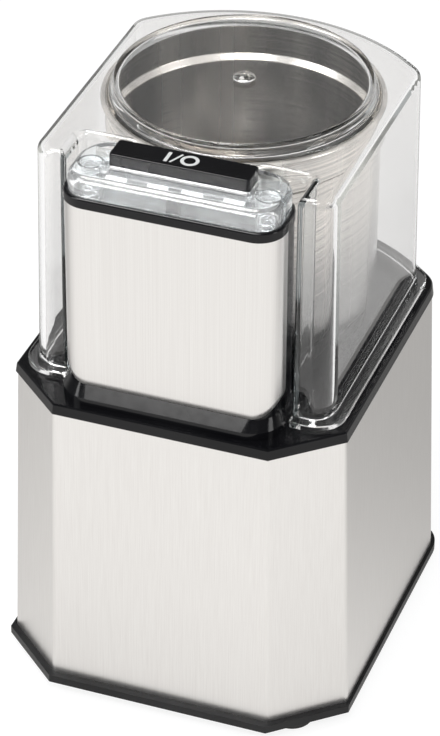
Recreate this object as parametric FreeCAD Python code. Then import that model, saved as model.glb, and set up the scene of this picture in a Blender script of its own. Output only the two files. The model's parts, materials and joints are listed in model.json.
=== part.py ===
import FreeCAD, Part
import math
import os

os.makedirs("parts", exist_ok=True)
V = FreeCAD.Vector

# Footprint and main heights, in millimetres
BASE_WIDTH = 150.6
BASE_DEPTH = 180.5
BASE_CHAMFER = (27.6, 24.7)
BASE_REAR_CORNER = 15.3
REAR_ARC_CENTRE_Y = -10.25
FOOT_HEIGHT = 5.5
TRIM_HEIGHT = 3.5
HOUSING_HEIGHT = 129.7
DECK_THICKNESS = 4.6
COVER_HEIGHT = 101.7

# Steel housing
HOUSING_GAUGE = 1.2
HOUSING_SIDE_SETBACK = 1.5
HOUSING_FRONT_SETBACK = 3.3
HOUSING_BACK_SETBACK = 1.7
HOUSING_CHAMFER = (26.8, 24.0)
TAB_LENGTH = 12.0
TAB_WIDTH = 14.0
TAB_Y = 31.6
TOP_TAB_REACH = 54.0
TOP_TAB_LEAD = 14.0

# Top deck
DECK_WIDTH = 140.0
DECK_FRONT = 84.65
DECK_BACK = 84.25
DECK_CHAMFER = (24.9, 22.5)
DECK_REAR_CORNER = 14.5
DECK_DRAFT = 0.5
DECK_EDGE = 0.6
SKIRT_DEPTH = 5.0
SKIRT_WALL = 2.0
LEDGE_HEIGHT = 3.0
LEDGE_WALL = 3.0
DECK_HOLE_R = 17.0

# Drive axis and bowl
AXIS_Y = 10.25
CUP_R = 53.0
CUP_TOP_R = 55.2
CUP_STEP_DEPTH = 16.0
CUP_HEIGHT = 93.6
CUP_GAUGE = 1.0
CUP_CORNER = 9.0
RIM_R = 57.0
RIM_BEAD = 2.6
BOWL_BASE_R = 49.0
BOWL_BASE_HEIGHT = 5.7
HUB_R = 13.0
KEY_LENGTH = 9.0
KEY_WIDTH = 6.0
KEY_DEPTH = 2.6
KEY_R = 42.0
KEYS = 3

# Clear cover
COVER_WALL = 2.5
COVER_TOP_WALL = 2.0
FLANGE_WIDTH = 134.4
FLANGE_THICKNESS = 2.7
FLANGE_FRONT = 67.25
FLANGE_BACK = 81.75
FLANGE_FRONT_R = 13.0
FLANGE_REAR_R = 13.0
WALL_WIDTH = 126.0
WALL_FRONT = 62.75
WALL_BACK = 77.25
WALL_DRAFT = 1.2
WALL_CORNER_R = 9.5
COVER_EDGE_R = 4.0
RIM_CLEARANCE = 1.2
DISC_R = 53.3
DISC_RISE = 5.0
DISC_DRAFT = 1.1
DISC_WALL = 3.0
NUB_R = 4.4
NUB_RISE = 2.0
NOTCH_GAP = 1.9
NOTCH_BACK_GAP = 3.0

# Front column
COLUMN_WIDTH = 90.6
COLUMN_SETBACK = 6.7
COLUMN_DEPTH = 31.2
COLUMN_HEIGHT = 93.2
COLUMN_FRONT_R = 11.2
COLUMN_BACK_R = 12.0
COLUMN_WALL = 2.2
COLUMN_GAP = 1.5
RIM_HEIGHT = 4.3
RIM_WIDTH = 2.0
RECESS_DEPTH = 10.5
RECESS_FLOOR = 2.5
PLATE_GAUGE = 0.8
PLATE_INSET = 0.4
PLATE_WRAP = 14.0
PLATE_RISE = 7.2
PLATE_CORNER_R = 12.0
PLINTH_HEIGHT = 3.4
PLINTH_REACH = 3.6
PLINTH_SIDE = 0.8

# Clear button housing of the lid, with its skirt in the column's recess
CAPSULE_INSET = 1.8
CAPSULE_FRONT_R = 9.8
CAPSULE_BACK_R = 14.0
CAPSULE_EDGE_R = 3.6
CAPSULE_WALL = 2.0
CAPSULE_LIFT = 0.3
SKIRT_GAP = 0.4
SKIRT_DROP = 10.0
BOSS_R = 5.2
BOSS_BORE_R = 4.3
BOSS_X = 36.2
BOSS_BACK = 5.0
BOSS_SLOT = 4.6

# Press bar and what moves with it
BAR_LENGTH = 57.2
BAR_WIDTH = 12.0
BAR_BACK_GAP = 0.7
BAR_PROUD = 4.8
BAR_DRAFT = 0.5
BAR_TRAVEL = 3.0
BAR_CLEARANCE = 0.4
CARRIER_GAUGE = 1.4
CARRIER_DROP = 1.6
CARRIER_LIP = 2.3
RIB_WIDTH = 8.5
RIB_DEPTH = 2.1
RIB_GAUGE = 1.2
RIB_PLACES = (-24.0, -7.0, 7.0, 24.0)
RIB_ROWS = (-3.1, 4.6)
ARM_WIDTH = 3.8
PEG_SIZE = (5.2, 3.0)
PEG_BACK = 4.0
MARK_DEPTH = 0.4
MARK_HEIGHT = 7.0
MARK_STROKE = 1.4
STROKE_X = -6.5
SLASH_X = -3.0
SLASH_LEAN = 24.0
RING_X = 2.5
RING_R = 3.7

# Switch in the column
PLUNGER_R = 2.2
PLUNGER_TIP_R = 1.3
PLUNGER_RISE = 3.3
PLUNGER_GAP = 0.3
PLUNGER_FLANGE_R = 4.0
PLUNGER_FLANGE = 1.5
SWITCH_SIZE = (28.0, 10.3, 16.0)
SWITCH_DROP = 13.5
BRACKET_GAUGE = 1.5

# Springs
BAR_SPRING_R = 3.2
BAR_SPRING_WIRE = 0.8
BAR_SPRING_TURNS = 4
PLUNGER_SPRING_R = 3.2
PLUNGER_SPRING_WIRE = 0.7
PLUNGER_SPRING_TURNS = 3
SPRING_BEND_R = 1.1

# Drive train on the axis
SHAFT_R = 4.0
SHAFT_FIT = 0.05
COUPLING_R = 9.0
COUPLING_TEETH = 6
COUPLING_FIT = 0.4
COUPLING_HEIGHT = 10.0
SOCKET_R = 13.0
SOCKET_HUB = 6.5
SOCKET_DROP = 6.5
BUSHING_R = 7.0
BUSHING_FLANGE_R = 9.5
BUSHING_RISE = 7.0
SEAL_GAUGE = 1.5
BLADE_RISE = 11.0
BLADE_REACH = 44.0
BLADE_WIDTH = 13.0
BLADE_GAUGE = 1.6
BLADE_BEND = 25.0
NUT_FLATS = 13.0
NUT_HEIGHT = 8.0

# Motor
STATOR_WIDTH = 76.0
STATOR_HEIGHT = 36.0
BORE_R = 24.0
AIR_GAP = 0.8
POLE_HALF = 17.0
COIL_SIDE = 8.0
COIL_INNER_Y = 24.8
COIL_DEPTH = 7.4
COIL_RISE = 8.0
ARMATURE_SLOTS = 12
SLOT_DEPTH = 8.0
SLOT_WIDTH = 4.0
WINDING_RISE = 9.0
COMMUTATOR_R = 11.0
COMMUTATOR_HEIGHT = 14.0
COMMUTATOR_GAP = 3.0
COMMUTATOR_BARS = 24
BRUSH_SIZE = (6.0, 8.0, 16.0)
HOLDER_WALL = 1.2
BEARING_R = 9.5
BEARING_HEIGHT = 7.0
BRACKET_ARM = 14.0
BRACKET_PLATE = 4.0
BRACKET_GAP = 29.0
UPPER_BRACKET_RISE = 20.0
BOLT_R = 2.0
BOLT_PITCH = 31.0
BOLT_HEAD_R = 3.6
BOLT_HEAD = 2.6
FAN_R = 32.0
FAN_HEIGHT = 5.5
FAN_BLADES = 9
FAN_GAP = 2.5
MOUNT_PLATE_SIZE = (112.0, 88.0)
MOUNT_PLATE_GAUGE = 2.5
POST_X = 47.0
POST_Y = 35.0
POST_R = 5.5
POST_LENGTH = 20.2
ISOLATOR_R = 8.0
ISOLATOR_HEIGHT = 4.0
SCREW_R = 2.0
SCREW_HEAD_R = 4.0
SCREW_HEAD = 2.2

# Feet, vents, board and gland
FOOT_R = 9.0
FOOT_SIDE_INSET = 23.3
FOOT_FRONT_INSET = 20.5
FOOT_BACK_INSET = 36.0
FOOT_STEM_R = 3.0
VENT_COUNT = 9
VENT_PITCH = 7.0
VENT_WIDTH = 3.0
VENT_SPAN = 64.0
LOCATOR_HEIGHT = 5.0
LOCATOR_WALL = 2.0
BOARD_SIZE = (60.0, 1.6, 44.0)
BOARD_Y = -52.0
BOARD_LIFT = 4.0
BOARD_POST = 7.0
BOARD_POST_HEIGHT = 22.0
CAPACITOR_R = 6.0
CAPACITOR_LENGTH = 24.0
CUTOUT_R = 8.0
CUTOUT_HEIGHT = 6.0
GLAND_RISE = 21.0
GLAND_R = 7.5
GLAND_FLANGE_R = 11.0
GLAND_PROUD = 2.2
GLAND_BORE_R = 4.0
GLAND_REACH = 16.0
GLAND_SHOULDER = 9.0
LEAD_R = 1.6
LEAD_LANE = 7.0
LEAD_SIDE_LANE = 16.0

# Levels that follow from the heights
TRIM_Z = FOOT_HEIGHT
HOUSING_Z = TRIM_Z + TRIM_HEIGHT
DECK_Z = HOUSING_Z + HOUSING_HEIGHT
TOP_Z = DECK_Z + DECK_THICKNESS
COVER_Z = TOP_Z + COVER_HEIGHT
COLUMN_TOP_Z = TOP_Z + COLUMN_HEIGHT
RIM_Z = COLUMN_TOP_Z - RIM_HEIGHT
RECESS_Z = COLUMN_TOP_Z - RECESS_DEPTH
CUP_Z = TOP_Z + BOWL_BASE_HEIGHT
CUP_TOP_Z = CUP_Z + CUP_HEIGHT
CAPSULE_Z = COLUMN_TOP_Z + CAPSULE_LIFT
CAPSULE_FLOOR_Z = CAPSULE_Z - SKIRT_DROP
ROOF_Z = COVER_Z - CAPSULE_WALL

# Places that follow from the widths
BASE_HALF = BASE_WIDTH / 2
BASE_FRONT_Y = -BASE_DEPTH / 2
BASE_BACK_Y = BASE_DEPTH / 2
DECK_HALF = DECK_WIDTH / 2
COLUMN_HALF = COLUMN_WIDTH / 2
COLUMN_FRONT_Y = -DECK_FRONT + COLUMN_SETBACK
COLUMN_BACK_Y = COLUMN_FRONT_Y + COLUMN_DEPTH
BULGE_R = RIM_R + RIM_CLEARANCE + COVER_WALL
NOTCH_HALF = COLUMN_HALF + NOTCH_GAP
NOTCH_BACK_Y = COLUMN_BACK_Y + NOTCH_BACK_GAP
COLUMN_CURVE_R = BULGE_R + COLUMN_GAP
CAPSULE_HALF = COLUMN_HALF - CAPSULE_INSET
CAPSULE_FRONT_Y = COLUMN_FRONT_Y + CAPSULE_INSET
BAR_BACK_Y = AXIS_Y - BULGE_R - BAR_BACK_GAP
BAR_FRONT_Y = BAR_BACK_Y - BAR_WIDTH
BOSS_Y = (BAR_FRONT_Y + BAR_BACK_Y) / 2 - BOSS_BACK
PEG_Y = BAR_FRONT_Y - PEG_BACK
CARRIER_Z = ROOF_Z - CARRIER_DROP - CARRIER_GAUGE
SWITCH_TOP_Z = RECESS_Z - SWITCH_DROP
PLATE_TOP_Z = DECK_Z - POST_LENGTH - ISOLATOR_HEIGHT
PLATE_Z = PLATE_TOP_Z - MOUNT_PLATE_GAUGE
STATOR_TOP = PLATE_Z - UPPER_BRACKET_RISE
STATOR_BOTTOM = STATOR_TOP - STATOR_HEIGHT


def save(shape, name):
    """Write one named piece and report its size."""
    solids = len(shape.Solids)
    valid = shape.isValid()
    shape.exportStep("parts/" + name + ".step")
    print(name, "solids", solids, "valid", valid, "volume", round(shape.Volume, 1))


def cylinder(x, y, z0, z1, r):
    return Part.makeCylinder(r, z1 - z0, V(x, y, z0))


def ring(x, y, z0, z1, r_out, r_in):
    return cylinder(x, y, z0, z1, r_out).cut(cylinder(x, y, z0, z1, r_in))


def box(x0, x1, y0, y1, z0, z1):
    return Part.makeBox(x1 - x0, y1 - y0, z1 - z0, V(x0, y0, z0))


def joined(shapes):
    """One shape from several that touch or overlap."""
    result = shapes[0]
    for shape in shapes[1:]:
        result = result.fuse(shape)
    return result.removeSplitter()


def mirrored_x(shape):
    return shape.mirror(V(0, 0, 0), V(1, 0, 0))


def rounded_wire(points, radii):
    """Closed wire through points, each corner rounded by its own radius."""
    count = len(points)
    corners = []
    for index in range(count):
        corner = points[index]
        radius = radii[index]
        if radius <= 0:
            corners.append((corner, None, corner))
            continue
        to_last = (points[index - 1] - corner).normalize()
        to_next = (points[(index + 1) % count] - corner).normalize()
        half_angle = to_last.getAngle(to_next) / 2
        reach = radius / math.tan(half_angle)
        middle_way = (to_last + to_next).normalize()
        centre = corner + middle_way * (radius / math.sin(half_angle))
        middle = centre - middle_way * radius
        corners.append((corner + to_last * reach, middle, corner + to_next * reach))
    edges = []
    for index in range(count):
        start, middle, end = corners[index]
        following = corners[(index + 1) % count][0]
        if middle is not None:
            edges.append(Part.Arc(start, middle, end).toShape())
        if (following - end).Length > 1e-6:
            edges.append(Part.LineSegment(end, following).toShape())
    return Part.Wire(edges)


def rounded_block(half, y0, y1, z0, z1, front_r, back_r):
    """Upright block, symmetric about x = 0, with rounded upright edges."""
    points = [V(-half, y0, z0), V(half, y0, z0), V(half, y1, z0), V(-half, y1, z0)]
    wire = rounded_wire(points, [front_r, front_r, back_r, back_r])
    return Part.Face(wire).extrude(V(0, 0, z1 - z0))


def inset_block(inset, half, y0, y1, z0, z1, front_r, back_r):
    front = max(front_r - inset, 0.2)
    back = max(back_r - inset, 0.2)
    return rounded_block(half - inset, y0 + inset, y1 - inset, z0, z1, front, back)


class Plan:
    """Outline of the base: two front corners, straight sides and a rear arc."""

    def __init__(self, half, front, back, corner, rear_r, rounded=False):
        self.half = half
        self.front = front
        self.back = back
        self.corner = corner
        self.rear_r = rear_r
        self.rounded = rounded

    def inset(self, t):
        cx, cy = self.corner
        if self.rounded:
            corner = (max(cx - t, 0.5), max(cy - t, 0.5))
        else:
            slant = math.hypot(cx, cy)
            corner = (cx - t * (1 + (cx - slant) / cy), cy - t * (1 + (cy - slant) / cx))
        rear_r = max(self.rear_r - t, 0.5)
        return Plan(self.half - t, self.front + t, self.back - t, corner, rear_r, self.rounded)

    def wire(self, z):
        cx, cy = self.corner
        half = self.half
        arc_r = self.back - REAR_ARC_CENTRE_Y
        corner_x = half - self.rear_r
        corner_y = REAR_ARC_CENTRE_Y + math.sqrt((arc_r - self.rear_r) ** 2 - corner_x ** 2)
        centre = V(0, REAR_ARC_CENTRE_Y, z)
        corner_centre = V(corner_x, corner_y, z)
        outward = (corner_centre - centre).normalize()
        blend_end = centre + outward * arc_r
        blend_way = (outward + V(1, 0, 0)).normalize()
        blend_mid = corner_centre + blend_way * self.rear_r
        side = V(half, corner_y, z)
        flip = lambda p: V(-p.x, p.y, p.z)
        a = V(half - cx, self.front, z)
        b = V(half, self.front + cy, z)
        edges = [Part.LineSegment(flip(a), a).toShape()]
        if self.rounded:
            turn = math.sqrt(0.5)
            mid = V(half - cx + cx * turn, self.front + cy - cy * turn, z)
            edges.append(Part.Arc(a, mid, b).toShape())
        else:
            edges.append(Part.LineSegment(a, b).toShape())
        edges.append(Part.LineSegment(b, side).toShape())
        edges.append(Part.Arc(side, blend_mid, blend_end).toShape())
        edges.append(Part.Arc(blend_end, V(0, self.back, z), flip(blend_end)).toShape())
        edges.append(Part.Arc(flip(blend_end), flip(blend_mid), flip(side)).toShape())
        edges.append(Part.LineSegment(flip(side), flip(b)).toShape())
        if self.rounded:
            edges.append(Part.Arc(flip(b), flip(mid), flip(a)).toShape())
        else:
            edges.append(Part.LineSegment(flip(b), flip(a)).toShape())
        return Part.Wire(edges)

    def prism(self, z0, z1):
        return Part.Face(self.wire(z0)).extrude(V(0, 0, z1 - z0))


def tapered(low, z0, high, z1):
    return Part.makeLoft([low.wire(z0), high.wire(z1)], True, True)


TRIM_PLAN = Plan(BASE_HALF, BASE_FRONT_Y, BASE_BACK_Y, BASE_CHAMFER, BASE_REAR_CORNER)
HOUSING_LOW = Plan(
    BASE_HALF - HOUSING_SIDE_SETBACK,
    BASE_FRONT_Y + HOUSING_FRONT_SETBACK,
    BASE_BACK_Y - HOUSING_BACK_SETBACK,
    HOUSING_CHAMFER,
    BASE_REAR_CORNER,
)
DECK_PLAN = Plan(DECK_HALF, -DECK_FRONT, DECK_BACK, DECK_CHAMFER, DECK_REAR_CORNER)
HOUSING_HIGH = DECK_PLAN.inset(0.1)
FLANGE_PLAN = Plan(
    FLANGE_WIDTH / 2, -FLANGE_FRONT, FLANGE_BACK, (FLANGE_FRONT_R, FLANGE_FRONT_R), FLANGE_REAR_R, True
)
WALL_LOW = Plan(
    WALL_WIDTH / 2, -WALL_FRONT, WALL_BACK, (WALL_CORNER_R, WALL_CORNER_R), WALL_CORNER_R, True
)
WALL_HIGH = Plan(
    WALL_WIDTH / 2 - WALL_DRAFT,
    -WALL_FRONT + WALL_DRAFT,
    WALL_BACK - WALL_DRAFT,
    (WALL_CORNER_R, WALL_CORNER_R),
    WALL_CORNER_R,
    True,
)


def feet_places():
    """The four feet, with a name for each."""
    side = BASE_HALF - FOOT_SIDE_INSET
    front = BASE_FRONT_Y + FOOT_FRONT_INSET
    back = BASE_BACK_Y - FOOT_BACK_INSET
    return {
        "foot_front_left": (-side, front),
        "foot_front_right": (side, front),
        "foot_rear_left": (-side, back),
        "foot_rear_right": (side, back),
    }


def foot(x, y):
    pad = cylinder(x, y, 0, FOOT_HEIGHT, FOOT_R)
    pad = pad.makeChamfer(1.0, [edge for edge in pad.Edges if edge.BoundBox.ZMax < 0.01])
    stem = cylinder(x, y, FOOT_HEIGHT, HOUSING_Z + 2.0, FOOT_STEM_R)
    barb = Part.makeCone(FOOT_STEM_R + 1.0, FOOT_STEM_R, 2.0, V(x, y, HOUSING_Z))
    return joined([pad, stem, barb])


def tab_places():
    """Middle of each screw tab: two on each side of the housing."""
    side = BASE_HALF - TAB_LENGTH
    return [(sx * side, y) for sx in (-1, 1) for y in (-TAB_Y, TAB_Y)]


def top_tab_places():
    side = DECK_HALF - TAB_LENGTH
    return [(sx * side, y) for sx in (-1, 1) for y in (AXIS_Y - TOP_TAB_REACH, AXIS_Y + TOP_TAB_LEAD)]


def bottom_cover():
    plate = TRIM_PLAN.prism(TRIM_Z, HOUSING_Z)
    outer = HOUSING_LOW.inset(HOUSING_GAUGE + 0.3)
    locator = outer.prism(HOUSING_Z, HOUSING_Z + LOCATOR_HEIGHT)
    locator = locator.cut(outer.inset(LOCATOR_WALL).prism(HOUSING_Z, HOUSING_Z + LOCATOR_HEIGHT))
    cover = joined([plate, locator] + board_posts())
    for x, y in feet_places().values():
        cover = cover.cut(cylinder(x, y, TRIM_Z, HOUSING_Z, FOOT_STEM_R))
    for x, y in tab_places():
        cover = cover.cut(cylinder(x, y, TRIM_Z, HOUSING_Z, SCREW_R + 0.2))
        cover = cover.cut(cylinder(x, y, TRIM_Z, TRIM_Z + SCREW_HEAD, SCREW_HEAD_R + 0.3))
        cover = cover.cut(tab_block(x, y, HOUSING_Z, LOCATOR_HEIGHT, 0.4))
    first = -(VENT_COUNT - 1) / 2 * VENT_PITCH
    for index in range(VENT_COUNT):
        x = first + index * VENT_PITCH
        half = math.sqrt((VENT_SPAN / 2) ** 2 - x ** 2)
        slot = box(x - VENT_WIDTH / 2, x + VENT_WIDTH / 2, AXIS_Y - half, AXIS_Y + half, TRIM_Z, HOUSING_Z)
        cover = cover.cut(slot)
    return cover


def tab_block(x, y, z, height, grow):
    """Block from a screw tab outwards, as wide as the tab."""
    side = math.copysign(1, x)
    inner = abs(x) - TAB_LENGTH / 2 - grow
    outer = abs(x) + TAB_LENGTH + 10
    x0, x1 = sorted((side * inner, side * outer))
    return box(x0, x1, y - TAB_WIDTH / 2 - grow, y + TAB_WIDTH / 2 + grow, z, z + height)


def steel_housing():
    outer = tapered(HOUSING_LOW, HOUSING_Z, HOUSING_HIGH, DECK_Z)
    inner = tapered(HOUSING_LOW.inset(HOUSING_GAUGE), HOUSING_Z, HOUSING_HIGH.inset(HOUSING_GAUGE), DECK_Z)
    shell = outer.cut(inner)
    for x, y in tab_places():
        tab = tab_block(x, y, HOUSING_Z, HOUSING_GAUGE, 0).common(outer)
        shell = shell.fuse(tab.cut(cylinder(x, y, HOUSING_Z, HOUSING_Z + HOUSING_GAUGE, SCREW_R)))
    for x, y in top_tab_places():
        z = DECK_Z - SKIRT_DEPTH - HOUSING_GAUGE
        tab = tab_block(x, y, z, HOUSING_GAUGE, 0).common(outer)
        shell = shell.fuse(tab.cut(cylinder(x, y, z, z + HOUSING_GAUGE, SCREW_R + 0.2)))
    hole = Part.makeCylinder(GLAND_R + 0.1, 40, V(0, BASE_BACK_Y - 30, HOUSING_Z + GLAND_RISE), V(0, 1, 0))
    return shell.cut(hole)


def cover_screws():
    screws = []
    for x, y in tab_places():
        head = cylinder(x, y, TRIM_Z + 0.4, TRIM_Z + SCREW_HEAD, SCREW_HEAD_R)
        cross = box(x - 2.4, x + 2.4, y - 0.5, y + 0.5, TRIM_Z, TRIM_Z + 1.4)
        turned = cross.copy()
        turned.rotate(V(x, y, 0), V(0, 0, 1), 90)
        shank = cylinder(x, y, TRIM_Z + SCREW_HEAD, HOUSING_Z + 8, SCREW_R)
        screws.append(head.fuse(shank).cut(cross).cut(turned))
    return Part.makeCompound(screws)


def posts():
    """The four motor posts under the deck."""
    return [(sx * POST_X, AXIS_Y + sy * POST_Y) for sx in (-1, 1) for sy in (-1, 1)]


def column_block(inset, z0, z1):
    block = inset_block(
        inset, COLUMN_HALF, COLUMN_FRONT_Y, COLUMN_BACK_Y, z0, z1, COLUMN_FRONT_R, COLUMN_BACK_R
    )
    return block.cut(cylinder(0, AXIS_Y, z0 - 1, z1 + 1, COLUMN_CURVE_R + inset))


def deck_body():
    low = DECK_PLAN.inset(-DECK_DRAFT)
    lower = tapered(low, DECK_Z, DECK_PLAN, TOP_Z - DECK_EDGE)
    upper = tapered(DECK_PLAN, TOP_Z - DECK_EDGE, DECK_PLAN.inset(DECK_EDGE), TOP_Z)
    return joined([lower, upper])


def notch_block(grow, z0, z1, back_grow=0.0):
    """The U notch of the lid, seen from outside, made larger by grow."""
    back = NOTCH_BACK_Y + grow + back_grow
    block = box(-NOTCH_HALF - grow, NOTCH_HALF + grow, -BASE_DEPTH, back, z0, z1)
    return block.cut(cylinder(0, AXIS_Y, z0 - 1, z1 + 1, BULGE_R - grow))


def top_deck():
    deck = deck_body()
    skirt_plan = HOUSING_HIGH.inset(HOUSING_GAUGE + 0.5)
    skirt = skirt_plan.prism(DECK_Z - SKIRT_DEPTH, DECK_Z)
    skirt = skirt.cut(skirt_plan.inset(SKIRT_WALL).prism(DECK_Z - SKIRT_DEPTH, DECK_Z))
    ledge_plan = WALL_LOW.inset(COVER_WALL + 1.0)
    ledge = ledge_plan.prism(TOP_Z, TOP_Z + LEDGE_HEIGHT)
    ledge = ledge.cut(ledge_plan.inset(LEDGE_WALL).prism(TOP_Z, TOP_Z + LEDGE_HEIGHT))
    ledge = ledge.cut(notch_block(COVER_WALL + 1.0, TOP_Z, TOP_Z + LEDGE_HEIGHT))
    parts = [deck, skirt, ledge]
    for x, y in posts():
        parts.append(cylinder(x, y, PLATE_TOP_Z + ISOLATOR_HEIGHT, DECK_Z, POST_R))
    for x, y in top_tab_places():
        parts.append(cylinder(x, y, DECK_Z - SKIRT_DEPTH, DECK_Z, SCREW_HEAD_R + 1.5))
    deck = joined(parts)
    deck = deck.cut(cylinder(0, AXIS_Y, DECK_Z - 1, TOP_Z + 1, DECK_HOLE_R))
    for x, y in posts():
        deck = deck.cut(cylinder(x, y, PLATE_TOP_Z, DECK_Z - 2, SCREW_R))
    for x, y in top_tab_places():
        deck = deck.cut(cylinder(x, y, DECK_Z - SKIRT_DEPTH - 1, DECK_Z + 1, SCREW_R))
    for pocket in key_blocks(0.4, TOP_Z - KEY_DEPTH - 0.4, TOP_Z):
        deck = deck.cut(pocket)
    lead_way = inset_block(
        COLUMN_WALL + 3, COLUMN_HALF, COLUMN_FRONT_Y, COLUMN_BACK_Y, DECK_Z - 1, TOP_Z + 1, 8, 8
    )
    lead_way = lead_way.cut(cylinder(0, AXIS_Y, DECK_Z - 2, TOP_Z + 2, COLUMN_CURVE_R + COLUMN_WALL + 3))
    return deck.cut(lead_way)


def key_blocks(grow, z0, z1):
    """Keys under the bowl base, that stop it turning in the deck."""
    blocks = []
    for index in range(KEYS):
        block = box(
            -KEY_WIDTH / 2 - grow, KEY_WIDTH / 2 + grow,
            KEY_R - KEY_LENGTH / 2 - grow, KEY_R + KEY_LENGTH / 2 + grow, z0, z1
        )
        block.rotate(V(0, 0, 0), V(0, 0, 1), 60 + index * 360 / KEYS)
        block.translate(V(0, AXIS_Y, 0))
        blocks.append(block)
    return blocks


def deck_screws():
    screws = []
    for x, y in top_tab_places():
        z = DECK_Z - SKIRT_DEPTH - HOUSING_GAUGE
        head = cylinder(x, y, z - SCREW_HEAD, z, SCREW_HEAD_R)
        shank = cylinder(x, y, z, DECK_Z, SCREW_R)
        screws.append(head.fuse(shank))
    return Part.makeCompound(screws)


def plinth():
    """Flared moulding from the deck up to the foot of the face plate."""
    step_z = TOP_Z + PLINTH_HEIGHT
    wide = [V(-COLUMN_HALF - PLINTH_SIDE, COLUMN_FRONT_Y - PLINTH_REACH, TOP_Z)]
    wide.append(V(COLUMN_HALF + PLINTH_SIDE, COLUMN_FRONT_Y - PLINTH_REACH, TOP_Z))
    wide.append(V(COLUMN_HALF + PLINTH_SIDE, COLUMN_BACK_Y, TOP_Z))
    wide.append(V(-COLUMN_HALF - PLINTH_SIDE, COLUMN_BACK_Y, TOP_Z))
    radii = [COLUMN_FRONT_R + 2, COLUMN_FRONT_R + 2, COLUMN_BACK_R, COLUMN_BACK_R]
    foot_wire = rounded_wire(wide, radii)
    step = Part.Face(foot_wire).extrude(V(0, 0, PLINTH_HEIGHT))
    top_wire = foot_wire.copy()
    top_wire.translate(V(0, 0, PLINTH_HEIGHT))
    inset = PLATE_INSET + PLATE_GAUGE
    narrow = [V(-COLUMN_HALF + inset, COLUMN_FRONT_Y + inset, TOP_Z + PLATE_RISE)]
    narrow.append(V(COLUMN_HALF - inset, COLUMN_FRONT_Y + inset, TOP_Z + PLATE_RISE))
    narrow.append(V(COLUMN_HALF - inset, COLUMN_BACK_Y, TOP_Z + PLATE_RISE))
    narrow.append(V(-COLUMN_HALF + inset, COLUMN_BACK_Y, TOP_Z + PLATE_RISE))
    narrow_radii = [COLUMN_FRONT_R - inset, COLUMN_FRONT_R - inset, COLUMN_BACK_R, COLUMN_BACK_R]
    flare = Part.makeLoft([top_wire, rounded_wire(narrow, narrow_radii)], True, True)
    shape = joined([step, flare])
    shape = shape.cut(cylinder(0, AXIS_Y, TOP_Z - 1, step_z + 10, COLUMN_CURVE_R))
    return shape.cut(column_block(COLUMN_WALL + 1, TOP_Z - 1, step_z + 10))


def column_housing():
    skin = PLATE_INSET + PLATE_GAUGE
    body = inset_block(
        skin, COLUMN_HALF, COLUMN_FRONT_Y, COLUMN_BACK_Y, TOP_Z, RIM_Z, COLUMN_FRONT_R, COLUMN_BACK_R
    )
    back_half = inset_block(
        PLATE_INSET, COLUMN_HALF, COLUMN_FRONT_Y, COLUMN_BACK_Y, TOP_Z, RIM_Z, COLUMN_FRONT_R, COLUMN_BACK_R
    )
    plate_end = COLUMN_FRONT_Y + PLATE_WRAP
    back_half = back_half.cut(box(-99, 99, -199, plate_end, TOP_Z - 1, RIM_Z + 1))
    body = body.fuse(back_half)
    body = body.cut(cylinder(0, AXIS_Y, TOP_Z - 1, RIM_Z + 1, COLUMN_CURVE_R))
    hollow = column_block(skin + COLUMN_WALL, TOP_Z - 1, RECESS_Z - RECESS_FLOOR)
    recess = column_block(RIM_WIDTH, RECESS_Z, COLUMN_TOP_Z)
    body = joined([body, plinth()]).cut(hollow).cut(recess)
    guide = cylinder(0, PEG_Y, RECESS_Z - RECESS_FLOOR - 1, RECESS_Z + 1, PLUNGER_R + SHAFT_FIT)
    return body.cut(guide)


def column_rim():
    return column_block(0, RIM_Z, COLUMN_TOP_Z).cut(column_block(RIM_WIDTH, RIM_Z, COLUMN_TOP_Z))


def column_face_plate():
    z0 = TOP_Z + PLATE_RISE
    args = (COLUMN_HALF, COLUMN_FRONT_Y, COLUMN_BACK_Y, z0, RIM_Z, COLUMN_FRONT_R, COLUMN_BACK_R)
    plate = inset_block(PLATE_INSET, *args).cut(inset_block(PLATE_INSET + PLATE_GAUGE, *args))
    plate = plate.common(box(-99, 99, -199, COLUMN_FRONT_Y + PLATE_WRAP, z0, RIM_Z))
    half = COLUMN_HALF + 1
    points = [V(-half, 0, z0), V(half, 0, z0), V(half, 0, RIM_Z), V(-half, 0, RIM_Z)]
    outline = Part.Face(rounded_wire(points, [PLATE_CORNER_R, PLATE_CORNER_R, 0, 0]))
    outline.translate(V(0, -BASE_DEPTH, 0))
    return plate.common(outline.extrude(V(0, BASE_DEPTH * 2, 0)))


def switch_bracket():
    half = SWITCH_SIZE[0] / 2
    z = SWITCH_TOP_Z
    y0 = PEG_Y - SWITCH_SIZE[1] / 2
    y1 = PEG_Y + SWITCH_SIZE[1] / 2
    top = RECESS_Z - RECESS_FLOOR
    shelf = box(-half, half, y0, y1, z, z + BRACKET_GAUGE)
    leg = box(half - BRACKET_GAUGE, half, y0, y1, z, top)
    wing = box(half, half + BRACKET_GAUGE, y0, y1, z - SWITCH_SIZE[2] / 2, z + BRACKET_GAUGE)
    shape = joined([shelf, leg, mirrored_x(leg), wing, mirrored_x(wing)])
    return shape.cut(cylinder(0, PEG_Y, z - 1, z + 3, PLUNGER_TIP_R + 0.4))


def micro_switch():
    half = SWITCH_SIZE[0] / 2
    y0 = PEG_Y - SWITCH_SIZE[1] / 2
    y1 = PEG_Y + SWITCH_SIZE[1] / 2
    low = SWITCH_TOP_Z - SWITCH_SIZE[2]
    body = box(-half, half, y0, y1, low, SWITCH_TOP_Z)
    terminals = []
    for x in (-half + 5, 0, half - 5):
        terminals.append(box(x - 2.4, x + 2.4, PEG_Y - 0.4, PEG_Y + 0.4, low - 6, low))
    body = joined([body] + terminals)
    return body.cut(cylinder(0, PEG_Y, SWITCH_TOP_Z - 11, SWITCH_TOP_Z, PLUNGER_TIP_R + SHAFT_FIT))


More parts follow.
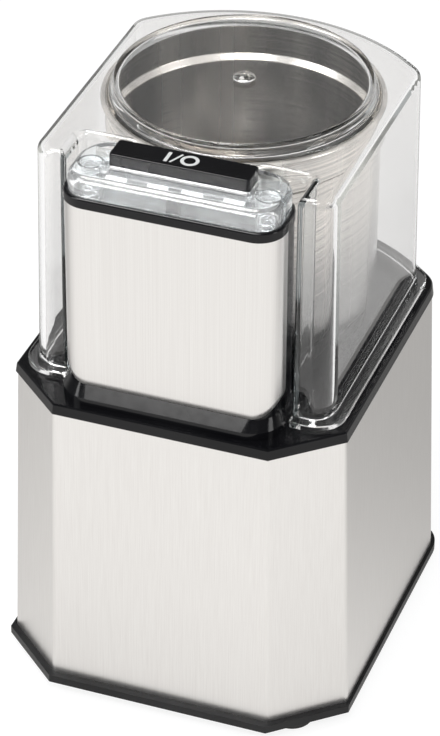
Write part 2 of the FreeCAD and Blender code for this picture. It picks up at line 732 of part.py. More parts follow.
def switch_plunger():
    flange_z = RECESS_Z - RECESS_FLOOR - 0.3 - PLUNGER_FLANGE
    pin = cylinder(0, PEG_Y, flange_z, RECESS_Z + PLUNGER_RISE, PLUNGER_R)
    flange = cylinder(0, PEG_Y, flange_z, flange_z + PLUNGER_FLANGE, PLUNGER_FLANGE_R)
    tip = cylinder(0, PEG_Y, SWITCH_TOP_Z - 6, flange_z, PLUNGER_TIP_R)
    return joined([pin, flange, tip])


def biarc(p0, t0, p1, t1):
    """Two arcs that leave p0 along t0 and reach p1 along t1."""
    v = p1 - p0
    t = t0 + t1
    a = 2 * (t0.dot(t1) - 1)
    b = v.dot(t)
    d = (b - math.sqrt(b * b - a * v.dot(v))) / a
    q0 = p0 + t0 * d
    q1 = p1 - t1 * d
    joint = (q0 + q1) * 0.5
    return [bend(p0, q0, joint), bend(joint, q1, p1)]


def bend(a, q, b):
    """Arc from a to b whose end tangents meet at q."""
    middle = (a + b) * 0.5
    half_chord = (b - a).Length / 2
    to_corner = q - middle
    angle = math.atan2(to_corner.Length, half_chord)
    share = math.tan(angle / 2) / math.tan(angle)
    return Part.Arc(a, middle + to_corner * share, b).toShape()


def spring(name, x, y, z0, z1, r, wire_d, turns):
    """One unbroken wire: straight foot, bend, even turns, bend, straight head."""
    up = V(0, 0, 1)
    straight = wire_d
    helix_z0 = z0 + straight + SPRING_BEND_R
    helix_z1 = z1 - straight - SPRING_BEND_R
    pitch = (helix_z1 - helix_z0) / turns
    slope = pitch / (2 * math.pi)

    def point(angle):
        return V(x + r * math.cos(angle), y + r * math.sin(angle), helix_z0 + slope * angle)

    def tangent(angle):
        return V(-r * math.sin(angle), r * math.cos(angle), slope).normalize()

    end_angle = turns * 2 * math.pi
    quarter = turns * 4
    edges = []
    angles = [index * end_angle / quarter for index in range(quarter + 1)]
    for low, high in zip(angles[:-1], angles[1:]):
        edges += biarc(point(low), tangent(low), point(high), tangent(high))
    turn = math.atan2(1, slope / r)
    reach = SPRING_BEND_R * math.tan(turn / 2)
    start_corner = point(0) - tangent(0) * reach
    start_bend = start_corner - up * reach
    end_corner = point(end_angle) + tangent(end_angle) * reach
    end_bend = end_corner + up * reach
    foot_point = V(start_bend.x, start_bend.y, z0)
    head_point = V(end_bend.x, end_bend.y, z1)
    first = [Part.LineSegment(foot_point, start_bend).toShape(), bend(start_bend, start_corner, point(0))]
    last = [bend(point(end_angle), end_corner, end_bend), Part.LineSegment(end_bend, head_point).toShape()]
    path = Part.Wire(first + edges + last)
    profile = Part.Wire([Part.makeCircle(wire_d / 2, foot_point, up)])
    body = path.makePipeShell([profile], True, False)
    samples = path.discretize(Number=turns * 60)
    lengths = path.Length / (len(samples) - 1)
    apart = int(math.pi * r / lengths)
    least = min(
        (samples[i] - samples[j]).Length
        for i in range(len(samples)) for j in range(i + apart, len(samples))
    )
    expected = math.pi * (wire_d / 2) ** 2 * path.Length
    print(name, "least self gap", round(least - wire_d, 2), "volume share", round(body.Volume / expected, 4))
    return body


def cover_outer():
    """Outer form of the cover before its wall is taken out."""
    walls = tapered(WALL_LOW, TOP_Z, WALL_HIGH, COVER_Z)
    walls = walls.cut(notch_block(0, TOP_Z - 1, COVER_Z + 1))
    edges = [edge for edge in walls.Edges if edge.BoundBox.ZMin > COVER_Z - 0.01]
    walls = walls.makeFillet(COVER_EDGE_R, edges)
    flange = FLANGE_PLAN.prism(TOP_Z, TOP_Z + FLANGE_THICKNESS)
    flange = flange.cut(notch_block(0, TOP_Z - 1, COVER_Z + 1))
    disc = Part.makeCone(DISC_R, DISC_R - DISC_DRAFT, DISC_RISE, V(0, AXIS_Y, COVER_Z))
    root = cylinder(0, AXIS_Y, COVER_Z - COVER_EDGE_R, COVER_Z, DISC_R)
    nub_r = (NUB_R ** 2 + NUB_RISE ** 2) / (2 * NUB_RISE)
    nub_z = COVER_Z + DISC_RISE + NUB_RISE - nub_r
    nub = Part.makeSphere(nub_r, V(0, AXIS_Y, nub_z))
    nub = nub.common(cylinder(0, AXIS_Y, COVER_Z + DISC_RISE - 0.5, COVER_Z + 20, NUB_R))
    return joined([walls, flange, root, disc, nub])


def lid_cover():
    inner_low = WALL_LOW.inset(COVER_WALL)
    inner_high = WALL_HIGH.inset(COVER_WALL)
    cavity = tapered(inner_low, TOP_Z, inner_high, COVER_Z - COVER_TOP_WALL)
    cavity = cavity.cut(notch_block(COVER_WALL, TOP_Z - 1, COVER_Z))
    disc_cavity = cylinder(0, AXIS_Y, TOP_Z, COVER_Z + DISC_RISE - DISC_WALL, DISC_R - DISC_WALL)
    return cover_outer().cut(joined([cavity, disc_cavity]))


def capsule_block(inset, z0, z1):
    return inset_block(
        inset, CAPSULE_HALF, CAPSULE_FRONT_Y, NOTCH_BACK_Y, z0, z1, CAPSULE_FRONT_R, CAPSULE_BACK_R
    )


def button_housing():
    upper = capsule_block(0, CAPSULE_Z, COVER_Z)
    top = [edge for edge in upper.Edges if edge.BoundBox.ZMin > COVER_Z - 0.01]
    upper = upper.makeFillet(CAPSULE_EDGE_R, top)
    upper = upper.cut(cylinder(0, AXIS_Y, CAPSULE_Z - 1, COVER_Z + 1, BULGE_R))
    gap = RIM_WIDTH + SKIRT_GAP
    skirt = column_block(gap, CAPSULE_FLOOR_Z, CAPSULE_Z)
    outer = joined([upper, skirt])
    upper_cavity = capsule_block(CAPSULE_WALL + 0.4, CAPSULE_Z, ROOF_Z)
    upper_cavity = upper_cavity.cut(box(-99, 99, BAR_BACK_Y + BAR_CLEARANCE, 0, CAPSULE_Z - 1, ROOF_Z + 1))
    lower_cavity = column_block(gap + CAPSULE_WALL - 0.2, CAPSULE_FLOOR_Z + CAPSULE_WALL, CAPSULE_Z)
    shape = outer.cut(upper_cavity).cut(lower_cavity)
    bosses = []
    for side in (-1, 1):
        boss = cylinder(side * BOSS_X, BOSS_Y, CAPSULE_FLOOR_Z + CAPSULE_WALL, ROOF_Z, BOSS_R)
        bosses.append(boss.common(outer))
    shape = joined([shape] + bosses)
    for side in (-1, 1):
        x = side * BOSS_X
        shape = shape.cut(cylinder(x, BOSS_Y, CAPSULE_FLOOR_Z + CAPSULE_WALL, ROOF_Z, BOSS_BORE_R))
        x0, x1 = sorted((x, x - side * (BOSS_R + 1)))
        slot_z = CARRIER_Z - BAR_TRAVEL - 0.4
        shape = shape.cut(box(x0, x1, BOSS_Y - BOSS_SLOT / 2, BOSS_Y + BOSS_SLOT / 2, slot_z, ROOF_Z))
    half = BAR_LENGTH / 2 + BAR_CLEARANCE
    y0 = BAR_FRONT_Y - BAR_CLEARANCE
    y1 = BAR_BACK_Y + BAR_CLEARANCE
    shape = shape.cut(rounded_block(half, y0, y1, ROOF_Z - 1, COVER_Z + 1, 1.4, 1.4))
    way_x = PEG_SIZE[0] / 2 + PLUNGER_GAP
    way_y = PLUNGER_R + PLUNGER_GAP
    return shape.cut(box(-way_x, way_x, PEG_Y - way_y, PEG_Y + way_y, CAPSULE_FLOOR_Z - 1, CAPSULE_Z))


def press_bar():
    top = COVER_Z + BAR_PROUD
    bar = rounded_block(BAR_LENGTH / 2, BAR_FRONT_Y, BAR_BACK_Y, CARRIER_Z + CARRIER_GAUGE, top, 1.2, 1.2)
    edges = [edge for edge in bar.Edges if edge.BoundBox.ZMin > top - 0.01]
    bar = bar.makeChamfer(BAR_DRAFT, edges)
    return bar.cut(marks())


def marks():
    """On and off marks, let into the top of the bar: a stroke, a slash and a ring."""
    z0 = COVER_Z + BAR_PROUD - MARK_DEPTH
    centre_y = (BAR_FRONT_Y + BAR_BACK_Y) / 2
    half = MARK_HEIGHT / 2
    thick = MARK_STROKE / 2
    stroke = box(STROKE_X - thick, STROKE_X + thick, centre_y - half, centre_y + half, z0, z0 + MARK_DEPTH)
    slash = box(-thick * 0.6, thick * 0.6, -half, half, z0, z0 + MARK_DEPTH)
    slash.rotate(V(0, 0, 0), V(0, 0, 1), -SLASH_LEAN)
    slash.translate(V(SLASH_X, centre_y, 0))
    circle = ring(RING_X, centre_y, z0, z0 + MARK_DEPTH, RING_R, RING_R - MARK_STROKE)
    return Part.makeCompound([stroke, slash, circle])


def bar_carrier():
    z0 = CARRIER_Z
    z1 = z0 + CARRIER_GAUGE
    plate = rounded_block(BAR_LENGTH / 2, PEG_Y - CARRIER_LIP, BAR_BACK_Y, z0, z1, 2, 2)
    parts = [plate]
    for x in RIB_PLACES:
        for row in RIB_ROWS:
            y = BAR_FRONT_Y + row
            half = RIB_WIDTH / 2
            parts.append(box(x - half, x + half, y - RIB_GAUGE / 2, y + RIB_GAUGE / 2, z0 - RIB_DEPTH, z0))
    for side in (-1, 1):
        x0, x1 = sorted((side * (BAR_LENGTH / 2 - 2), side * BOSS_X))
        parts.append(box(x0, x1, BOSS_Y - ARM_WIDTH / 2, BOSS_Y + ARM_WIDTH / 2, z0, z1))
        parts.append(cylinder(side * BOSS_X, BOSS_Y, z0, z1, BOSS_BORE_R - 0.35))
    return joined(parts)


def actuator_peg():
    half_x = PEG_SIZE[0] / 2
    half_y = PEG_SIZE[1] / 2
    z0 = RECESS_Z + PLUNGER_RISE + PLUNGER_GAP
    return box(-half_x, half_x, PEG_Y - half_y, PEG_Y + half_y, z0, CARRIER_Z)


def spline(r, teeth, z0, z1, grow):
    """Round core with teeth round it, for the drive and its socket."""
    core = cylinder(0, AXIS_Y, z0, z1, r * 0.72 + grow)
    parts = [core]
    for index in range(teeth):
        tooth = box(-1.6 - grow, 1.6 + grow, 0, r + grow, z0, z1)
        tooth.rotate(V(0, 0, 0), V(0, 0, 1), index * 360 / teeth)
        tooth.translate(V(0, AXIS_Y, 0))
        parts.append(tooth)
    return joined(parts)


def socket_top_z():
    return TOP_Z - SOCKET_DROP + 2.0


def socket_bottom_z():
    return socket_top_z() - SOCKET_HUB - COUPLING_HEIGHT


def drive_coupling():
    z0 = socket_bottom_z() - 3.0
    z1 = socket_top_z() - SOCKET_HUB - 0.8
    collar = cylinder(0, AXIS_Y, z0 - 4, z0, SHAFT_R + 4)
    shape = joined([spline(COUPLING_R, COUPLING_TEETH, z0, z1, 0), collar])
    return shape.cut(cylinder(0, AXIS_Y, z0 - 5, z1 - 2, SHAFT_R))


def driven_coupling():
    z0 = socket_bottom_z()
    z1 = socket_top_z()
    shape = cylinder(0, AXIS_Y, z0, z1, SOCKET_R)
    shape = shape.cut(spline(COUPLING_R, COUPLING_TEETH, z0, z1 - SOCKET_HUB, COUPLING_FIT))
    return shape.cut(cylinder(0, AXIS_Y, z1 - SOCKET_HUB, z1, SHAFT_R))


def blade_z():
    return CUP_Z + CUP_GAUGE + BLADE_RISE


def blade_shaft():
    low = cylinder(0, AXIS_Y, socket_top_z() - SOCKET_HUB, blade_z() - 3, SHAFT_R)
    shoulder = cylinder(0, AXIS_Y, blade_z() - 3, blade_z(), SHAFT_R + 3)
    stud = cylinder(0, AXIS_Y, blade_z(), blade_z() + BLADE_GAUGE + NUT_HEIGHT - 2, SHAFT_R - 0.8)
    return joined([low, shoulder, stud])


def blade():
    """Two wings from one strip, one turned up and one turned down at the tip."""
    z = blade_z()
    flat = BLADE_REACH * 0.6
    strip = box(-flat, flat, -BLADE_WIDTH / 2, BLADE_WIDTH / 2, z, z + BLADE_GAUGE)
    tip_length = BLADE_REACH - flat
    parts = [strip]
    for side, angle in ((1, -BLADE_BEND), (-1, -BLADE_BEND * 0.6)):
        tip = box(0, tip_length, -BLADE_WIDTH / 2, BLADE_WIDTH / 2, 0, BLADE_GAUGE)
        tip.rotate(V(0, 0, 0), V(0, 1, 0), angle)
        tip.translate(V(flat, 0, z))
        if side < 0:
            tip.rotate(V(0, 0, 0), V(0, 0, 1), 180)
        parts.append(tip)
    wings = joined(parts)
    half = BLADE_WIDTH / 2
    for side in (-1, 1):
        points = [V(0, half, z - 30), V(BLADE_REACH + 5, -half * 0.4, z - 30), V(BLADE_REACH + 5, 99, z - 30)]
        points.append(V(0, 99, z - 30))
        edge = Part.Face(rounded_wire(points, [0, 0, 0, 0])).extrude(V(0, 0, 80))
        if side < 0:
            edge.rotate(V(0, 0, 0), V(0, 0, 1), 180)
        wings = wings.cut(edge)
    wings.translate(V(0, AXIS_Y, 0))
    hub = cylinder(0, AXIS_Y, z, z + BLADE_GAUGE, BLADE_WIDTH / 2 + 2)
    return joined([wings, hub]).cut(cylinder(0, AXIS_Y, z - 1, z + 5, SHAFT_R - 0.8))


def blade_nut():
    z = blade_z() + BLADE_GAUGE
    corner_r = NUT_FLATS / math.sqrt(3)
    points = []
    for index in range(6):
        angle = math.radians(60 * index)
        points.append(V(corner_r * math.cos(angle), AXIS_Y + corner_r * math.sin(angle), z))
    body = Part.Face(rounded_wire(points, [0] * 6)).extrude(V(0, 0, NUT_HEIGHT * 0.55))
    dome_r = NUT_FLATS * 0.46
    dome = Part.makeSphere(dome_r, V(0, AXIS_Y, z + NUT_HEIGHT - dome_r))
    dome = dome.common(cylinder(0, AXIS_Y, z, z + NUT_HEIGHT, NUT_FLATS))
    return joined([body, dome]).cut(cylinder(0, AXIS_Y, z - 1, z + NUT_HEIGHT - 2, SHAFT_R - 0.8))


def turned(points):
    """Solid of revolution about the drive axis from (radius, height) points."""
    wire = Part.makePolygon([V(r, 0, z) for r, z in points] + [V(points[0][0], 0, points[0][1])])
    solid = Part.Face(wire).revolve(V(0, 0, 0), V(0, 0, 1), 360)
    solid.translate(V(0, AXIS_Y, 0))
    return solid


def bowl_cup():
    step_z = CUP_TOP_Z - CUP_STEP_DEPTH
    g = CUP_GAUGE
    outer_points = [V(0, 0, CUP_Z), V(CUP_R, 0, CUP_Z), V(CUP_R, 0, step_z), V(CUP_TOP_R, 0, step_z + 2)]
    outer_points += [V(CUP_TOP_R, 0, CUP_TOP_Z), V(0, 0, CUP_TOP_Z)]
    inner_points = [V(0, 0, CUP_Z + g), V(CUP_R - g, 0, CUP_Z + g), V(CUP_R - g, 0, step_z)]
    inner_points += [V(CUP_TOP_R - g, 0, step_z + 2), V(CUP_TOP_R - g, 0, CUP_TOP_Z + 1), V(0, 0, CUP_TOP_Z + 1)]
    outer = Part.Face(rounded_wire(outer_points, [0, CUP_CORNER, 0, 0, 0, 0]))
    inner = Part.Face(rounded_wire(inner_points, [0, CUP_CORNER - g, 0, 0, 0, 0]))
    outer = outer.revolve(V(0, 0, 0), V(0, 0, 1), 360)
    inner = inner.revolve(V(0, 0, 0), V(0, 0, 1), 360)
    bead_z = CUP_TOP_Z - RIM_BEAD
    bead = [V(CUP_TOP_R - g, 0, bead_z), V(RIM_R, 0, bead_z), V(RIM_R, 0, CUP_TOP_Z)]
    bead.append(V(CUP_TOP_R - g, 0, CUP_TOP_Z))
    bead = Part.Face(rounded_wire(bead, [0, RIM_BEAD * 0.4, RIM_BEAD * 0.4, 0]))
    bead = bead.revolve(V(0, 0, 0), V(0, 0, 1), 360)
    cup = joined([outer.cut(inner), bead])
    cup.translate(V(0, AXIS_Y, 0))
    cup = cup.cut(cylinder(0, AXIS_Y, CUP_Z - 1, CUP_Z + 3, BUSHING_R))
    for x, y in base_screw_places():
        cup = cup.cut(cylinder(x, y, CUP_Z - 1, CUP_Z + 3, SCREW_R))
    return cup


def base_screw_places():
    places = []
    for index in range(3):
        angle = math.radians(30 + 120 * index)
        places.append((26 * math.cos(angle), AXIS_Y + 26 * math.sin(angle)))
    return places


def bowl_base():
    body = cylinder(0, AXIS_Y, TOP_Z, CUP_Z, BOWL_BASE_R)
    body = body.cut(ring(0, AXIS_Y, TOP_Z, CUP_Z - 2.5, BOWL_BASE_R - 14, HUB_R + 5))
    hub = cylinder(0, AXIS_Y, socket_top_z() + 1.0, CUP_Z, HUB_R)
    body = joined([body, hub] + key_blocks(0, TOP_Z - KEY_DEPTH, TOP_Z + 1))
    body = body.cut(cylinder(0, AXIS_Y, TOP_Z - 20, CUP_Z + 1, BUSHING_R))
    for x, y in base_screw_places():
        body = body.cut(cylinder(x, y, TOP_Z - 1, CUP_Z + 1, SCREW_R))
        body = body.cut(cylinder(x, y, TOP_Z - 1, CUP_Z - 2.5, SCREW_HEAD_R + 0.5))
    return body


def bowl_screws():
    screws = []
    for x, y in base_screw_places():
        head = cylinder(x, y, CUP_Z - 2.5 - 1.8, CUP_Z - 2.5, SCREW_HEAD_R)
        shank = cylinder(x, y, CUP_Z - 2.5, CUP_Z + CUP_GAUGE + 0.5, SCREW_R)
        screws.append(head.fuse(shank))
    return Part.makeCompound(screws)


def bowl_bushing():
    top = CUP_Z + CUP_GAUGE + SEAL_GAUGE
    body = cylinder(0, AXIS_Y, socket_top_z() + 1.0, top + BUSHING_RISE - SEAL_GAUGE, BUSHING_R)
    flange = cylinder(0, AXIS_Y, top, top + 1.5, BUSHING_FLANGE_R)
    return joined([body, flange]).cut(cylinder(0, AXIS_Y, TOP_Z - 20, top + 20, SHAFT_R + SHAFT_FIT))


def bowl_seal():
    z = CUP_Z + CUP_GAUGE
    return ring(0, AXIS_Y, z, z + SEAL_GAUGE, BUSHING_FLANGE_R + 1, BUSHING_R)


def bolt_places():
    return [(sx * BOLT_PITCH, AXIS_Y + sy * BOLT_PITCH) for sx in (-1, 1) for sy in (-1, 1)]


def square(half, z0, z1):
    return box(-half, half, AXIS_Y - half, AXIS_Y + half, z0, z1)


def coil_ring(side, grow):
    """Flat loop of field winding round one pole."""
    y0 = COIL_INNER_Y - grow
    y1 = COIL_INNER_Y + COIL_DEPTH + grow
    outer_x = POLE_HALF + COIL_SIDE + grow
    inner_x = POLE_HALF + 0.4 - grow
    z0 = STATOR_BOTTOM
    z1 = STATOR_TOP
    outer = box(-outer_x, outer_x, y0, y1, z0 - COIL_RISE, z1 + COIL_RISE)
    inner = box(-inner_x, inner_x, y0, y1, z0 - 0.5 + grow, z1 + 0.5 - grow)
    loop = outer.cut(inner)
    if side < 0:
        loop = loop.mirror(V(0, 0, 0), V(0, 1, 0))
    loop.translate(V(0, AXIS_Y, 0))
    return loop


def stator_core():
    half = STATOR_WIDTH / 2
    core = square(half, STATOR_BOTTOM, STATOR_TOP)
    upright = [edge for edge in core.Edges if edge.BoundBox.ZLength > STATOR_HEIGHT - 1]
    core = core.makeChamfer(3.0, upright)
    core = core.cut(cylinder(0, AXIS_Y, STATOR_BOTTOM, STATOR_TOP, BORE_R))
    for side in (-1, 1):
        core = core.cut(coil_ring(side, 0.3))
    for x, y in bolt_places():
        core = core.cut(cylinder(x, y, STATOR_BOTTOM, STATOR_TOP, BOLT_R))
    return core


def field_coils():
    return Part.makeCompound([coil_ring(side, 0) for side in (-1, 1)])


def armature_slots(width, r0, r1, z0, z1):
    bars = []
    for index in range(ARMATURE_SLOTS):
        bar = box(-width / 2, width / 2, r0, r1, z0, z1)
        bar.rotate(V(0, 0, 0), V(0, 0, 1), index * 360 / ARMATURE_SLOTS)
        bar.translate(V(0, AXIS_Y, 0))
        bars.append(bar)
    return bars


def armature_core():
    r = BORE_R - AIR_GAP
    core = ring(0, AXIS_Y, STATOR_BOTTOM, STATOR_TOP, r, SHAFT_R)
    for slot in armature_slots(SLOT_WIDTH, r - SLOT_DEPTH, r + 1, STATOR_BOTTOM, STATOR_TOP):
        core = core.cut(slot)
    return core


def armature_winding():
    r = BORE_R - AIR_GAP
    z0 = STATOR_BOTTOM
    z1 = STATOR_TOP
    ends = [ring(0, AXIS_Y, z0 - WINDING_RISE, z0, r - 2, SHAFT_R + 3)]
    ends.append(ring(0, AXIS_Y, z1, z1 + WINDING_RISE, r - 2, SHAFT_R + 3))
    bars = armature_slots(SLOT_WIDTH - 0.6, r - SLOT_DEPTH + 0.3, r - 1.5, z0, z1)
    return joined(ends + bars)


def commutator_z():
    return STATOR_BOTTOM - WINDING_RISE - COMMUTATOR_GAP - COMMUTATOR_HEIGHT


def commutator():
    z0 = commutator_z()
    z1 = z0 + COMMUTATOR_HEIGHT
    body = ring(0, AXIS_Y, z0, z1, COMMUTATOR_R, SHAFT_R)
    body = body.fuse(ring(0, AXIS_Y, z1, z1 + COMMUTATOR_GAP, COMMUTATOR_R + 2, SHAFT_R))
    for index in range(COMMUTATOR_BARS):
        groove = box(-0.25, 0.25, COMMUTATOR_R - 0.6, COMMUTATOR_R + 3, z0 - 1, z1 + COMMUTATOR_GAP + 1)
        groove.rotate(V(0, 0, 0), V(0, 0, 1), index * 360 / COMMUTATOR_BARS)
        groove.translate(V(0, AXIS_Y, 0))
        body = body.cut(groove)
    return body


def brush_block(side, grow, x0, length):
    width, height, _ = BRUSH_SIZE
    z = commutator_z() + COMMUTATOR_HEIGHT / 2
    low, high = sorted((side * x0, side * (x0 + length)))
    y0 = AXIS_Y - width / 2 - grow
    y1 = AXIS_Y + width / 2 + grow
    return box(low, high, y0, y1, z - height / 2 - grow, z + height / 2 + grow)


def carbon_brushes():
    reach = COMMUTATOR_R + 0.1
    return Part.makeCompound([brush_block(side, 0, reach, BRUSH_SIZE[2]) for side in (-1, 1)])


def holder_reach():
    return COMMUTATOR_R + 3.0


def brush_holders():
    length = BRUSH_SIZE[2] + 4
    holders = []
    for side in (-1, 1):
        tube = brush_block(side, HOLDER_WALL, holder_reach(), length)
        tube = tube.cut(brush_block(side, 0.05, holder_reach(), length - HOLDER_WALL))
        x0, x1 = sorted((side * (holder_reach() + 5), side * (holder_reach() + 13)))
        z1 = commutator_z() + COMMUTATOR_HEIGHT / 2 - BRUSH_SIZE[1] / 2 - HOLDER_WALL
        foot_block = box(x0, x1, AXIS_Y - 4, AXIS_Y + 4, lower_plate_z() + BRACKET_PLATE, z1)
        holders.append(joined([tube, foot_block]))
    return Part.makeCompound(holders)


def lower_plate_z():
    return STATOR_BOTTOM - BRACKET_GAP - BRACKET_PLATE - 3.0


def bracket_reach():
    return BOLT_PITCH * math.sqrt(2) + BRACKET_ARM / 2 - 2


def cross_plate(z0, z1):
    """X-shaped plate whose arms reach the four motor bolts."""
    reach = bracket_reach()
    arms = []
    for angle in (45, 135):
        arm = box(-reach, reach, -BRACKET_ARM / 2, BRACKET_ARM / 2, z0, z1)
        arm.rotate(V(0, 0, 0), V(0, 0, 1), angle)
        arm.translate(V(0, AXIS_Y, 0))
        arms.append(arm)
    return arms


def bolt_legs(z0, z1):
    return [cylinder(x, y, z0, z1, BOLT_R + 3.0) for x, y in bolt_places()]


def lower_bracket():
    z0 = lower_plate_z()
    z1 = z0 + BRACKET_PLATE
    span = box(-holder_reach() - 15, holder_reach() + 15, AXIS_Y - 7, AXIS_Y + 7, z0, z1)
    boss = cylinder(0, AXIS_Y, z0 - 2, z0 + BEARING_HEIGHT, BEARING_R + 3)
    body = joined(cross_plate(z0, z1) + [span, boss] + bolt_legs(z0, STATOR_BOTTOM))
    body = body.cut(cylinder(0, AXIS_Y, z0, z0 + BEARING_HEIGHT, BEARING_R))
    body = body.cut(cylinder(0, AXIS_Y, z0 - 3, z0, SHAFT_R + 2))
    for x, y in bolt_places():
        body = body.cut(cylinder(x, y, z0 - 3, STATOR_BOTTOM, BOLT_R))
    return body


def upper_bracket():
    z1 = PLATE_Z
    z0 = z1 - BRACKET_PLATE
    boss = cylinder(0, AXIS_Y, z1 - BEARING_HEIGHT - 2, z1, BEARING_R + 3)
    body = joined(cross_plate(z0, z1) + [boss] + bolt_legs(STATOR_TOP, z1))
    body = body.cut(cylinder(0, AXIS_Y, z1 - BEARING_HEIGHT, z1, BEARING_R))
    body = body.cut(cylinder(0, AXIS_Y, z0 - 20, z1, SHAFT_R + 2))
    for x, y in bolt_places():
        body = body.cut(cylinder(x, y, STATOR_TOP, z1, BOLT_R))
    return body


def bearing(z0):
    body = ring(0, AXIS_Y, z0, z0 + BEARING_HEIGHT, BEARING_R, SHAFT_R + SHAFT_FIT)
    for z in (z0, z0 + BEARING_HEIGHT - 0.6):
        body = body.cut(ring(0, AXIS_Y, z, z + 0.6, BEARING_R - 1.4, SHAFT_R + 1.4))
    return body


def motor_bolts():
    bolts = []
    for x, y in bolt_places():
        shank = cylinder(x, y, lower_plate_z(), PLATE_TOP_Z, BOLT_R)
        head = cylinder(x, y, PLATE_TOP_Z, PLATE_TOP_Z + BOLT_HEAD, BOLT_HEAD_R)
        nut = cylinder(x, y, lower_plate_z() - BOLT_HEAD, lower_plate_z(), BOLT_HEAD_R)
        bolts.append(joined([shank, head, nut]))
    return Part.makeCompound(bolts)


def fan_z():
    return lower_plate_z() - 2 - FAN_GAP - FAN_HEIGHT


def cooling_fan():
    z0 = fan_z()
    z1 = z0 + FAN_HEIGHT
    disc = cylinder(0, AXIS_Y, z1 - 1.5, z1, FAN_R)
    hub = cylinder(0, AXIS_Y, z0, z1, SHAFT_R + 4)
    parts = [disc, hub]
    for index in range(FAN_BLADES):
        vane = box(SHAFT_R + 2, FAN_R - 1, -0.7, 0.7, z0, z1)
        vane.rotate(V(SHAFT_R + 2, 0, 0), V(0, 0, 1), 18)
        vane.rotate(V(0, 0, 0), V(0, 0, 1), index * 360 / FAN_BLADES)
        vane.translate(V(0, AXIS_Y, 0))
        parts.append(vane)
    return joined(parts).cut(cylinder(0, AXIS_Y, z0 - 1, z1 + 1, SHAFT_R))


def motor_shaft():
    top = socket_top_z() - SOCKET_HUB - 0.8 - 2
    return cylinder(0, AXIS_Y, fan_z(), top, SHAFT_R)


def motor_mount_plate():
    z0 = PLATE_Z
    half_x = MOUNT_PLATE_SIZE[0] / 2
    half_y = MOUNT_PLATE_SIZE[1] / 2
    plate = rounded_block(half_x, AXIS_Y - half_y, AXIS_Y + half_y, z0, PLATE_TOP_Z, 8, 8)
    plate = plate.cut(cylinder(0, AXIS_Y, z0, PLATE_TOP_Z, BEARING_R + 3))
    for x, y in posts():
        plate = plate.cut(cylinder(x, y, z0, PLATE_TOP_Z, ISOLATOR_R - 3))
    for x, y in bolt_places():
        plate = plate.cut(cylinder(x, y, z0, PLATE_TOP_Z, BOLT_R))
    return plate


def motor_isolators():
    """Rubber grommets: a collar on each side of the plate and a neck through it."""
    grommets = []
    for x, y in posts():
        top = cylinder(x, y, PLATE_TOP_Z, PLATE_TOP_Z + ISOLATOR_HEIGHT, ISOLATOR_R)
        neck = cylinder(x, y, PLATE_Z, PLATE_TOP_Z, ISOLATOR_R - 3)
        low = cylinder(x, y, PLATE_Z - ISOLATOR_HEIGHT, PLATE_Z, ISOLATOR_R)
        hole = cylinder(x, y, PLATE_Z - ISOLATOR_HEIGHT, PLATE_TOP_Z + ISOLATOR_HEIGHT, SCREW_R)
        grommets.append(joined([top, neck, low]).cut(hole))
    return Part.makeCompound(grommets)


def isolator_screws():
    screws = []
    for x, y in posts():
        low = PLATE_Z - ISOLATOR_HEIGHT
        head = cylinder(x, y, low - SCREW_HEAD, low, SCREW_HEAD_R + 1)
        shank = cylinder(x, y, low, DECK_Z - 3, SCREW_R)
        screws.append(head.fuse(shank))
    return Part.makeCompound(screws)


def deck_seal():
    """Lip ring in the deck hole, that keeps spills off the motor."""
    lip = ring(0, AXIS_Y, DECK_Z, DECK_Z + 1.2, DECK_HOLE_R, SOCKET_R + 1.0)
    wall = ring(0, AXIS_Y, DECK_Z, TOP_Z - 0.6, DECK_HOLE_R, DECK_HOLE_R - 1.5)
    return joined([lip, wall])


def board_posts():
    half = BOARD_SIZE[0] / 2
    posts_list = []
    for side in (-1, 1):
        x0, x1 = sorted((side * (half - 3), side * (half - 3 + BOARD_POST)))
        y0 = BOARD_Y - BOARD_POST / 2
        y1 = BOARD_Y + BOARD_POST / 2
        post = box(x0, x1, y0, y1, HOUSING_Z, HOUSING_Z + BOARD_POST_HEIGHT)
        posts_list.append(post.cut(board_block(0.1)))
    return posts_list


def board_block(grow):
    half = BOARD_SIZE[0] / 2 + grow
    thick = BOARD_SIZE[1] / 2 + grow
    z0 = HOUSING_Z + BOARD_LIFT
    return box(-half, half, BOARD_Y - thick, BOARD_Y + thick, z0, z0 + BOARD_SIZE[2] + grow)


def control_board():
    return board_block(0)


def line_capacitor():
    """Film capacitor lying on the front of the board."""
    z = HOUSING_Z + BOARD_LIFT + BOARD_SIZE[2] * 0.7
    y = BOARD_Y - BOARD_SIZE[1] / 2 - CAPACITOR_R
    half = CAPACITOR_LENGTH / 2
    can = Part.makeCylinder(CAPACITOR_R, CAPACITOR_LENGTH, V(-half, y, z), V(1, 0, 0))
    foot_block = box(-half, half, y, BOARD_Y - BOARD_SIZE[1] / 2, z - CAPACITOR_R, z)
    return joined([can, foot_block])


def thermal_cutout():
    """Disc thermostat strapped to the side of the stator."""
    x = STATOR_WIDTH / 2
    z = STATOR_BOTTOM + STATOR_HEIGHT / 2
    can = Part.makeCylinder(CUTOUT_R, CUTOUT_HEIGHT, V(x, AXIS_Y, z), V(1, 0, 0))
    ears = box(x, x + 1, AXIS_Y - CUTOUT_R - 5, AXIS_Y + CUTOUT_R + 5, z - 4, z + 4)
    return joined([can, ears])


